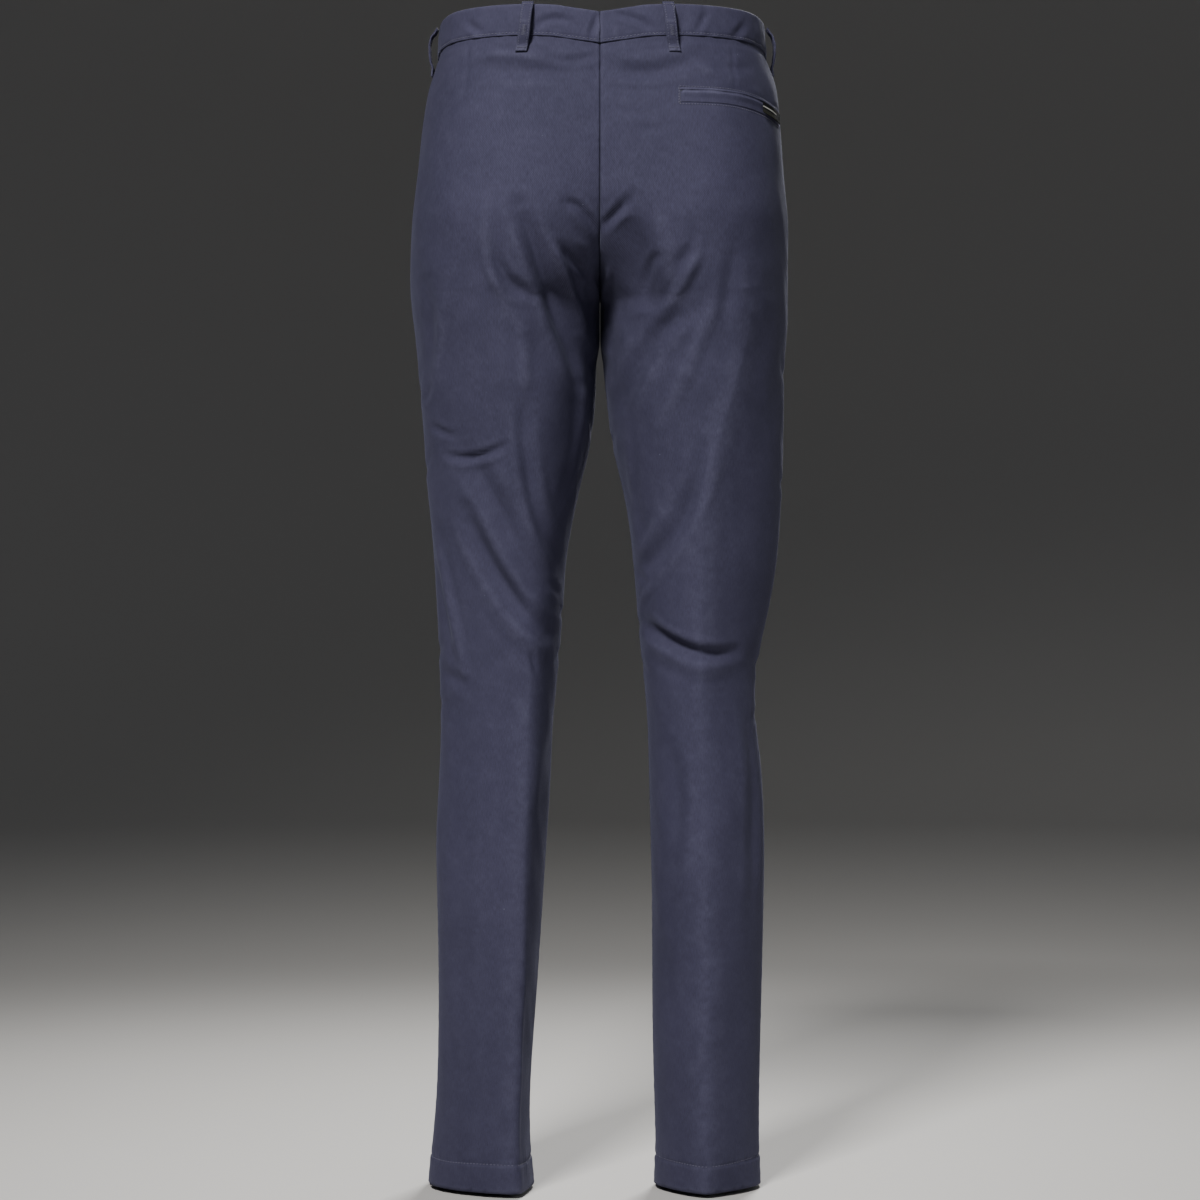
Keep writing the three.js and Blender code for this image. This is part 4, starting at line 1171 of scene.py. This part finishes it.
def dress_loop(node, bm_stitches):
    bm = outer_sheet(node, inside_waist, facing=0.5)
    piece = subdivided(node + "_cloth", bm, 3)
    mesh = piece.data
    points, normals = points_of(mesh), normals_of(mesh)
    middle, out = Vector(points.mean(0)), Vector(normals.mean(0))
    out = Vector((out.x, out.y, 0)).normalized()
    across_way = Vector((0, 0, 1)).cross(out)
    level = float(points[:, 2].max()) / MM - 15.6
    height = points[:, 2] / MM - level
    rim = [place for row in edge_lines(mesh).values() for place in row]
    away, _ = distance_to(rim, points)
    across = (points - np.array(middle)) @ np.array(across_way)
    slant = np.polyfit(height, across, 1)
    across = across - np.polyval(slant, height)
    step = 0.45 * ease(LOOP_FOLD - 0.7, LOOP_FOLD + 0.5, height) + 0.7 * ease(LOOP_TURN + 0.8, LOOP_TURN - 0.6, height)
    channel = np.exp(-(((np.abs(across) - 3.6 * MM) / (0.8 * MM)) ** 2))
    rough = 0.12 * np.sin(height * 1.9 + 3 * np.sin(across / MM)) + 0.1 * np.sin(height * 0.8 + node.count("t"))
    points = points + normals * ((step - 0.3 * channel + rough) * MM)[:, None]
    points = round_edge(points, normals, away, 1.0 * MM)
    put_points(mesh, points)
    # The lower end, turned out to face up, and the edge just above the fold step get a painted highlight; the rims are
    # paler, partly worn dye and partly a painted highlight.
    turned_end_highlight = ease(LOOP_TURN + 0.5, LOOP_TURN - 1.5, height)
    fold_edge_highlight = np.exp(-(((height - LOOP_FOLD - 1.2) / 1.3) ** 2))
    wear_and_highlight = 0.4 * np.exp(-((away / (1.2 * MM)) ** 2)) + 0.9 * turned_end_highlight + 0.8 * fold_edge_highlight
    put_attribute(mesh, "wear_and_highlight", np.clip(wear_and_highlight, 0, 1))
    put_map(mesh, np.column_stack([across, points[:, 2]]))
    add_solidify(piece, LOOP_CLOTH)
    mesh.materials.append(loop_twill)
    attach(piece, "root")
    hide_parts(node)

    tree = tree_of(piece)
    def line(across_mm, z_mm):
        sideways = across_mm * MM + float(np.polyval(slant, z_mm))
        return Vector((middle.x, middle.y, (z_mm + level) * MM)) + across_way * sideways + out * 0.03, -out
    for edge in (-3.6, 3.6):
        path = drop_path(tree, [line(edge, z) for z in np.linspace(14, -26, 21)])
        add_stitches(bm_stitches, path, pitch=2.4 * MM, length=1.8 * MM, thick=0.6 * MM)
    zigzag = drop_path(tree, [line(2.6 * (1 if k % 2 else -1), -6 - 0.85 * k) for k in range(12)])
    for first, second in zip(zigzag, zigzag[1:]):
        add_stitches(bm_stitches, [first, second], pitch=1, length=(second[0] - first[0]).length, thick=0.5 * MM, sink=-0.05)
    for z in (13.2, -25.5):
        tack = drop_path(tree, [line(x, z + 0.5 * (1 if k % 2 else -1)) for k, x in enumerate(np.linspace(-4.2, 4.2, 15))])
        for first, second in zip(tack, tack[1:]):
            add_stitches(bm_stitches, [first, second], pitch=1, length=1.3 * MM, thick=0.4 * MM, sink=-0.05)
    return piece


loops = []
bm = bmesh.new()
for place_word in ("back", "side", "front"):
    for side in SIDES:
        loops.append(dress_loop(f"belt_loop_{place_word}_{side}", bm))
loop_stitches = finish_stitches("belt_loop_stitches", bm)


# %% [markdown]
# ## The back pocket
# A welt pocket is a slit with a folded strip, the welt, that rises in it. A frame of stitches
# holds it all round. The slit is a dark line above the welt, and the welt is all but level
# with the hip below. A small bare tab is sewn on its outer end.

# %% The back pocket
def lay_on(piece, tree, way, heights):
    """Puts each point of a thin piece at a height above the cloth under it."""
    mesh = piece.data
    points = points_of(mesh)
    for k, point in enumerate(points):
        found = drop(tree, Vector(point) - Vector(way) * 0.05, way)
        if found:
            points[k] = found[0] + found[1] * float(heights[k])
    put_points(mesh, points)


def dress_welt():
    piece = subdivided("back_pocket_welt_cloth", outer_sheet("back_pocket_welt", inside_waist), 2)
    mesh = piece.data
    points = points_of(mesh)
    x, z = -points[:, 0] / MM, points[:, 2] / MM
    below = pocket_line(x, 0) - z
    from_end = np.minimum(x - WELT_INNER, WELT_OUTER - x)
    low = ease(0.5, 6, below)
    high = 0.3 + 1.3 * (1 - low) * ease(-0.5, 3, from_end)
    high += 0.25 * np.sin(x / 6.5 + 1.5 * np.sin(x / 17)) * (1 - low)
    high -= 0.9 * (1 - ease(0, 1.1, below)) ** 2
    lay_on(piece, back_tree, (0, -1, 0), high * MM)
    # Paler along the slit's edge and along the welt's lower edge, partly worn dye and partly a painted highlight.
    wear_and_highlight = 0.55 * np.exp(-((below / 1.6) ** 2)) + 0.25 * np.exp(-(((below - 9.5) / 1.5) ** 2))
    put_attribute(mesh, "wear_and_highlight", np.clip(wear_and_highlight, 0, 1))
    put_map(mesh, np.column_stack([x * MM, z * MM]))
    add_solidify(piece, 0.9 * MM)
    mesh.materials.append(band_twill)
    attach(piece, "root")
    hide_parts("back_pocket_welt")
    return piece


LIP_HIGH, LIP_LOW = -3.9, -1.0  # how far below the slit's top edge, in mm, so both are above it


def make_lip():
    """The narrow folded strip above the slit, laid on the hip like the welt."""
    bm = bmesh.new()
    bmesh.ops.create_grid(bm, x_segments=84, y_segments=8, size=0.5)
    for v in bm.verts:
        x = WELT_INNER - 1 + (v.co.x + 0.5) * (WELT_OUTER - WELT_INNER)
        below = LIP_LOW + (v.co.y + 0.5) * (LIP_HIGH - LIP_LOW)
        v.co = (-x * MM, 0.2, pocket_line(x, below) * MM)
    piece = make_object("back_pocket_lip", bm)
    mesh = piece.data
    shade_smooth(mesh)
    points = points_of(mesh)
    x, z = -points[:, 0] / MM, points[:, 2] / MM
    above = z - pocket_line(x, 0)
    share = np.clip((above + LIP_LOW) / (LIP_LOW - LIP_HIGH), 0, 1)
    crown = 0.25 + 1.15 * (1 - np.abs(2 * share - 1) ** 3) + 0.15 * np.sin(x / 3.1 + 2 * np.sin(x / 12))
    lay_on(piece, back_tree, (0, -1, 0), crown * MM)
    # A painted highlight along the rounded crown of the lip.
    put_attribute(mesh, "wear_and_highlight", 0.75 * np.exp(-(((share - 0.35) / 0.35) ** 2)))
    put_map(mesh, np.column_stack([x * MM, z * MM]))
    add_solidify(piece, 0.9 * MM)
    mesh.materials.append(band_twill)
    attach(piece, "root")
    return piece


welt = dress_welt()
lip = make_lip()
pocket_tree = tree_of(panels["back", "right"], welt)
bm = bmesh.new()
frame_path = (
    [(x, pocket_line(x, -4.6)) for x in np.linspace(WELT_INNER - 2, WELT_OUTER, 40)]
    + [(WELT_OUTER, pocket_line(WELT_OUTER, y)) for y in np.linspace(-2, 10, 6)]
    + [(x, pocket_line(x, 11.2)) for x in np.linspace(WELT_OUTER, WELT_INNER - 2, 40)]
    + [(WELT_INNER - 2, pocket_line(WELT_INNER, 11.2 - 15.8 * t)) for t in np.linspace(0.1, 0.95, 7)]
)
add_stitches(bm, drop_path(pocket_tree, [on_back(-x, z) for x, z in frame_path]), pitch=2.6 * MM, length=2.0 * MM)
for x in (WELT_INNER - 1, WELT_OUTER - 0.5):
    ends = [Vector(on_back(-x, pocket_line(x, y))[0]) for y in (-3.5, 11)]
    add_bar_tack(bm, pocket_tree, ends[0], ends[1], (0, -1, 0), passes=10, wide=1.2 * MM)
pocket_stitches = finish_stitches("back_pocket_stitches", bm)
print("back pocket laid on the right hip")

# %% [markdown]
# ## The bare tab
# The tab on the pocket is a small woven strip, folded under at both ends. It is left bare: a plain
# pale bar lies across a near-black ground, with an olive edge below. The two tones come from the
# strip's own UV map, so that no extra geometry is needed.

# %% The bare tab
TAB_INNER, TAB_OUTER = 143.0, 159.0
PALE_BAR = (0.52, 0.64)


def tab_material():
    material = bpy.data.materials.new("bare_tab")
    tree, shader = nodes_of(material)
    link = tree.links.new
    uv = new_node(tree, "ShaderNodeUVMap", uv_map="cloth").outputs["UV"]
    parts = new_node(tree, "ShaderNodeSeparateXYZ")
    link(uv, parts.inputs["Vector"])
    across, up = parts.outputs["X"], parts.outputs["Y"]
    threads = new_node(tree, "ShaderNodeTexWave", bands_direction="Y", Scale=22.0, Distortion=0.6)
    link(uv, threads.inputs["Vector"])
    low, high = PALE_BAR
    on_bar = maths(tree, "MULTIPLY", ramp_between(tree, up, low - 0.01, low + 0.01), ramp_between(tree, up, high + 0.01, high - 0.01))
    inside_ends = maths(tree, "MULTIPLY", ramp_between(tree, across, 0.10, 0.14), ramp_between(tree, across, 0.93, 0.89))
    bar = maths(tree, "MULTIPLY", on_bar, inside_ends)
    olive = maths(tree, "MULTIPLY", ramp_between(tree, up, 0.36, 0.30), inside_ends)
    colour = mix_colour(tree, olive, (0.008, 0.008, 0.010, 1), (0.040, 0.042, 0.033, 1))
    colour = mix_colour(tree, bar, colour, (0.60, 0.60, 0.56, 1))
    shade = new_node(tree, "ShaderNodeCombineColor")
    for channel in ("Red", "Green", "Blue"):
        link(ramp_between(tree, threads.outputs["Fac"], -1.2, 1.0), shade.inputs[channel])
    link(mix_colour(tree, 1.0, colour, shade.outputs["Color"], "MULTIPLY"), shader.inputs["Base Color"])
    shader.inputs["Roughness"].default_value = 0.85
    shader.inputs["Specular IOR Level"].default_value = 0.12
    weave = new_node(tree, "ShaderNodeBump", Strength=0.6, Distance=0.12 * MM)
    link(threads.outputs["Fac"], weave.inputs["Height"])
    link(weave.outputs["Normal"], shader.inputs["Normal"])
    return material


def dress_tab():
    piece = subdivided("back_pocket_tab_cloth", outer_sheet("back_pocket_tab", inside_waist), 3)
    mesh = piece.data
    points = points_of(mesh)
    x, z = -points[:, 0] / MM, points[:, 2] / MM
    across = (x - TAB_INNER) / (TAB_OUTER - TAB_INNER)
    below = pocket_line(x, 0) - z
    up = 1 - (below - below.min()) / (below.max() - below.min())
    ends = np.minimum(x - x.min(), x.max() - x)
    lay_on(piece, pocket_tree, (-0.45, -1, 0), (0.35 + 0.75 * ease(0, 1.6, ends)) * MM)
    put_map(mesh, np.column_stack([across, up]))
    add_solidify(piece, 0.7 * MM)
    mesh.materials.append(tab_material())
    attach(piece, "root")
    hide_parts("back_pocket_tab")
    return piece


tab = dress_tab()
print("bare tab laid on the welt's outer end")


# %% [markdown]
# ## The front
# The photograph doesn't show the front, so it gets what such trousers have. Two rows of stitches
# curve from the waistband to the bottom of the fly, and two rows follow each slanted pocket. Each
# pocket mouth ends in a bar tack.

# %% The front
FLY_STITCH_X = 36.0
FLY_STRAIGHT_END, FLY_END = -132.0, -172.0


def fly_path(inset):
    """The J of the fly on the wearer's left, as lines onto the cloth."""
    out = FLY_STITCH_X - inset
    straight = [(out, z) for z in np.linspace(-33, FLY_STRAIGHT_END, 30)]
    turns = np.linspace(0, math.pi / 2, 20)[1:]
    drop_down = FLY_END + inset - FLY_STRAIGHT_END
    curved = [(out * math.cos(t), FLY_STRAIGHT_END + drop_down * math.sin(t)) for t in turns]
    return [on_front(x, z) for x, z in straight + curved]


bm = bmesh.new()
for inset in (0, 5.5):
    add_stitches(bm, drop_path(front_tree, fly_path(inset)))
add_bar_tack(bm, front_tree, on_front(3, -163)[0], on_front(10, -169)[0], (0, 1, 0))
add_bar_tack(bm, front_tree, on_front(30.5, -128)[0], on_front(36, -128)[0], (0, 1, 0), passes=8)
fly_stitches = finish_stitches("fly_stitches", bm)


def slanted_edge(side):
    """Places and directions along the pocket's slanted edge on one front panel, from the top down."""
    mesh = panels["front", side].data
    places = edge_places(mesh)["seam"]
    found = [
        (place, mesh.vertices[index].normal.copy())
        for place, index in places
        if place.y < -1.5 * MM and abs(place.x) > 118 * MM and place.z > -190 * MM
    ]
    return sorted(found, key=lambda pair: -pair[0].z)[3:-3:4]


def beside(edge, distance, tree):
    """A path on the cloth at a distance inside an edge."""
    path = []
    for k in range(1, len(edge) - 1):
        along, inward = ways_at(edge, k)
        found = nearest_on(tree, edge[k][0] + inward * distance)
        if found:
            path.append(found)
    return path


def ways_at(edge, k):
    """The ways along an edge and inward from it, on the cloth."""
    before, after = edge[max(k - 3, 0)][0], edge[min(k + 3, len(edge) - 1)][0]
    along = (after - before).normalized()
    outward = edge[k][0] - inside_leg(edge[k][0])
    inward = along.cross(outward).normalized()
    return along, (-inward if inward.y > 0 else inward)


def edge_tack(bm, edge, k, tree, length=8.5 * MM, steps=18):
    """A bar tack that runs inward from an edge."""
    along, inward = ways_at(edge, k)
    places = [edge[k][0] + inward * length * n / steps + along * 0.8 * MM * (-1) ** n for n in range(steps + 1)]
    add_zigzag(bm, [found for place in places if (found := nearest_on(tree, place))])


bm = bmesh.new()
for side in SIDES:
    edge = slanted_edge(side)
    for distance in (1.6 * MM, 7.5 * MM):
        add_stitches(bm, beside(edge, distance, front_tree))
    for k in (2, len(edge) - 3):
        edge_tack(bm, edge, k, front_tree)
pocket_edge_stitches = finish_stitches("front_pocket_stitches", bm)


# %% [markdown]
# ## Zip and fly shield
# Behind the closed front lie a zip and, behind that, a shield of twill. The zip is a woven tape with
# a chain of metal teeth. Each tooth is a small tapered peg, set alternately from the left and
# the right. The slider is a rounded body with a pull that hangs from a bridge.

# %% Zip and fly shield
def dress_shield():
    piece = subdivided("fly_shield_cloth", outer_sheet("fly_shield", inside_waist, facing=0.3), 2)
    mesh = piece.data
    points = points_of(mesh)
    put_attribute(mesh, "wear_and_highlight", np.zeros(len(points)))
    put_map(mesh, points[:, [0, 2]])
    add_solidify(piece, CLOTH)
    mesh.materials.append(cloth_twill)
    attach(piece, "root")
    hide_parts("fly_shield")
    return piece


def tape_material():
    material = bpy.data.materials.new("zip_tape_weave")
    tree, shader = nodes_of(material)
    link = tree.links.new
    place = new_node(tree, "ShaderNodeTexCoord").outputs["Object"]
    ribs = new_node(tree, "ShaderNodeTexWave", bands_direction="Z", Scale=260.0, Distortion=0.8)
    link(place, ribs.inputs["Vector"])
    link(mix_colour(tree, ribs.outputs["Fac"], (0.010, 0.011, 0.022, 1), (0.020, 0.021, 0.040, 1)), shader.inputs["Base Color"])
    shader.inputs["Roughness"].default_value = 0.75
    weave = new_node(tree, "ShaderNodeBump", Strength=0.5, Distance=0.1 * MM)
    link(ribs.outputs["Fac"], weave.inputs["Height"])
    link(weave.outputs["Normal"], shader.inputs["Normal"])
    return material


def metal_material(name, colour):
    material = bpy.data.materials.new(name)
    tree, shader = nodes_of(material)
    link = tree.links.new
    place = new_node(tree, "ShaderNodeTexCoord").outputs["Object"]
    stains = new_node(tree, "ShaderNodeTexNoise", Scale=420.0, Detail=4.0)
    link(place, stains.inputs["Vector"])
    dark = tuple(c * 0.45 for c in colour[:3]) + (1,)
    link(mix_colour(tree, stains.outputs["Fac"], dark, colour), shader.inputs["Base Color"])
    link(maths(tree, "ADD", maths(tree, "MULTIPLY", stains.outputs["Fac"], 0.25), 0.22), shader.inputs["Roughness"])
    shader.inputs["Metallic"].default_value = 1.0
    return material


zip_metal = metal_material("worn_brass", (0.46, 0.41, 0.33, 1))


def dress_zip():
    tape = subdivided("zip_tape_cloth", outer_sheet("zip", inside_waist, facing=0.3), 2)
    mesh = tape.data
    add_solidify(tape, 0.6 * MM)
    mesh.materials.append(tape_material())
    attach(tape, "root")
    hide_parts("zip")
    tape_tree = tree_of(tape)
    bm = bmesh.new()
    for k in range(96):
        height = -40 - k * 1.3
        found = drop(tape_tree, (0, 0, height * MM), (0, -1, 0))
        if not found:
            continue
        place = found[0] + Vector(((0.55 if k % 2 else -0.55) * MM, 1.0 * MM, 0))
        turn = Matrix.Rotation(math.radians(90 if k % 2 else -90), 4, "Y")
        bmesh.ops.create_cone(
            bm, cap_ends=True, segments=8, radius1=0.75 * MM, radius2=0.5 * MM, depth=3.4 * MM,
            matrix=Matrix.Translation(place) @ turn,
        )
    teeth = make_object("zip_teeth", bm)
    teeth.data.materials.append(zip_metal)
    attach(teeth, "root")
    return tape, teeth


def dress_slider():
    low, high = (Vector(corner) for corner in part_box("zip_slider"))
    middle = (low + high) / 2
    bm = bmesh.new()
    body = bmesh.ops.create_cube(bm, size=1, matrix=Matrix.Translation(middle) @ Matrix.Diagonal((7.6 * MM, 2.2 * MM, 9.6 * MM, 1)))
    for v in body["verts"]:
        if v.co.z < middle.z:
            v.co.x *= 0.62
    bmesh.ops.bevel(bm, geom=bm.edges[:], offset=0.8 * MM, segments=2, affect="EDGES")
    bridge = Matrix.Translation(middle + Vector((0, 1.5 * MM, 1.2 * MM))) @ Matrix.Diagonal((2.0 * MM, 1.6 * MM, 5.4 * MM, 1))
    made = bmesh.ops.create_uvsphere(bm, u_segments=14, v_segments=8, radius=0.5, matrix=bridge)
    pull = bmesh.ops.create_cube(bm, size=1, matrix=Matrix.Translation(middle + Vector((0, 2.1 * MM, -6 * MM))) @ Matrix.Diagonal((4.4 * MM, 0.9 * MM, 13 * MM, 1)))
    for v in pull["verts"]:
        if v.co.z > middle.z:
            v.co.x *= 0.6
    sides = list({e for v in pull["verts"] for e in v.link_edges})
    bmesh.ops.bevel(bm, geom=sides, offset=0.35 * MM, segments=2, affect="EDGES")
    slider = make_object("zip_slider_and_pull", bm)
    shade_smooth(slider.data)
    slider.data.materials.append(zip_metal)
    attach(slider, "root")
    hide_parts("zip_slider")
    return slider


shield = dress_shield()
zip_tape, zip_teeth = dress_zip()
zip_slider = dress_slider()
print("zip:", len(zip_teeth.data.polygons), "faces of teeth")


# %% [markdown]
# ## The waist button
# A horn-like button is turned on a lathe, so its outline is spun round an axis with bmesh's spin.
# The four holes are cut with a Boolean modifier, which is then applied. Thread crosses between
# them. The buttonhole lies under the disc, so none of it shows.

# %% The waist button
BUTTON_RADIUS = 8.5
BUTTON_OUTLINE = [
    (0, 0.9), (5.6, 0.9), (7.4, 1.0), (8.3, 1.5), (8.5, 2.2), (8.2, 3.1), (7.4, 3.7), (6.6, 3.6),
    (5.8, 2.9), (4.6, 2.5), (0, 2.4),
]


def horn_material():
    material = bpy.data.materials.new("dark_horn")
    tree, shader = nodes_of(material)
    link = tree.links.new
    place = new_node(tree, "ShaderNodeTexCoord").outputs["Object"]
    streaks = new_node(tree, "ShaderNodeTexNoise", Scale=190.0, Detail=5.0, Distortion=1.6)
    link(place, streaks.inputs["Vector"])
    share = ramp_between(tree, streaks.outputs["Fac"], 0.35, 0.7)
    link(mix_colour(tree, share, (0.012, 0.011, 0.014, 1), (0.060, 0.045, 0.036, 1)), shader.inputs["Base Color"])
    shader.inputs["Roughness"].default_value = 0.28
    shader.inputs["Coat Weight"].default_value = 0.3
    shader.inputs["Coat Roughness"].default_value = 0.2
    return material


def place_of_button():
    low, high = (Vector(corner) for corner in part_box("waist_button"))
    middle = (low + high) / 2
    found = drop(band_tree, (middle.x, -BEHIND, middle.z), (0, 1, 0))
    normal = Vector((found[1].x, found[1].y, 0)).normalized()
    return found[0], normal


def make_button():
    foot, out = place_of_button()
    stand = Matrix.Translation(foot + out * 0.6 * MM) @ out.to_track_quat("Z", "Y").to_matrix().to_4x4()
    bm = bmesh.new()
    verts = [bm.verts.new((r * MM, 0, h * MM)) for r, h in BUTTON_OUTLINE]
    edges = [bm.edges.new(pair) for pair in zip(verts, verts[1:])]
    bmesh.ops.spin(bm, geom=verts + edges, angle=math.tau, steps=48, axis=(0, 0, 1), cent=(0, 0, 0), use_merge=True)
    bmesh.ops.remove_doubles(bm, verts=bm.verts, dist=0.01 * MM)
    bmesh.ops.recalc_face_normals(bm, faces=bm.faces)
    bmesh.ops.transform(bm, matrix=stand, verts=bm.verts)
    disc = make_object("button_disc", bm)
    bm = bmesh.new()
    for x, y in ((1.7, 1.7), (-1.7, 1.7), (1.7, -1.7), (-1.7, -1.7)):
        bore = stand @ Matrix.Translation((x * MM, y * MM, 2 * MM))
        bmesh.ops.create_cone(bm, cap_ends=True, segments=16, radius1=0.8 * MM, radius2=0.8 * MM, depth=6 * MM, matrix=bore)
    drill = make_object("button_drill", bm)
    holes = disc.modifiers.new("holes", "BOOLEAN")
    holes.operation = "DIFFERENCE"
    holes.solver = "EXACT"
    holes.object = drill
    bpy.context.view_layer.update()
    mesh = bpy.data.meshes.new_from_object(disc.evaluated_get(bpy.context.evaluated_depsgraph_get()))
    button = bpy.data.objects.new("waist_button_turned", mesh)
    bpy.context.scene.collection.objects.link(button)
    for helper in (disc, drill):
        bpy.data.objects.remove(helper)
    mesh.polygons.foreach_set("use_smooth", [True] * len(mesh.polygons))
    mesh.set_sharp_from_angle(angle=math.radians(40))
    mesh.materials.clear()
    mesh.materials.append(horn_material())
    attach(button, "root")
    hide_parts("waist_button")

    bm = bmesh.new()
    for start, end in (((1.7, 1.7), (-1.7, 1.7)), ((1.7, -1.7), (-1.7, -1.7))):
        for shift in (-0.35, 0, 0.35):
            ends = [stand @ Vector((x * MM, (y + shift) * MM, 2.75 * MM)) for x, y in (start, end)]
            add_stitches(bm, [(ends[0], out), (ends[1], out)], pitch=1, length=5.1 * MM, thick=0.5 * MM)
    thread = finish_stitches("button_thread", bm)
    return button, thread


button, button_thread = make_button()
print("button:", len(button.data.polygons), "faces")


# %% [markdown]
# ## Every sheet of cloth and its cut
# A cut is a rectangle of cloth, or a shape in it that covers a smaller area, given in square
# metres. For each piece, the share of its cut that its outer face covers is printed.

# %% Every sheet of cloth and its cut
def cloth_area(piece):
    return sum(polygon.area for polygon in piece.data.polygons)


CUTS = [  # the pieces, their width and length in metres, and the area of a cut that isn't a rectangle
    ([panels["back", side] for side in SIDES], 0.285, 1.03, 0.235),
    ([panels["front", side] for side in SIDES], 0.265, 1.02, 0.215),
    ([panels["facing", side] for side in SIDES], 0.090, 0.175, 0.0080),
    ([bands["left"]], 0.0295, 0.450, None),
    ([bands["right"]], 0.0295, 0.500, None),
    (loops, 0.0115, 0.047, None),
    ([welt], 0.0120, 0.150, None),
    ([lip], 0.0100, 0.150, 0.00045),
    ([tab], 0.0100, 0.042, None),
    ([shield], 0.042, 0.146, None),
    ([zip_tape], 0.0265, 0.136, None),
]
for pieces, width, length, area in CUTS:
    for piece in pieces:
        share = cloth_area(piece) / (area or width * length)
        print("cut of", piece.name, "covers", round(share, 3), "of the size it is said to have")

# %% Gather the sizes and finish
size = {"cad": [list(v) for v in cad_box], "visual": [list(v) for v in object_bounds()]}
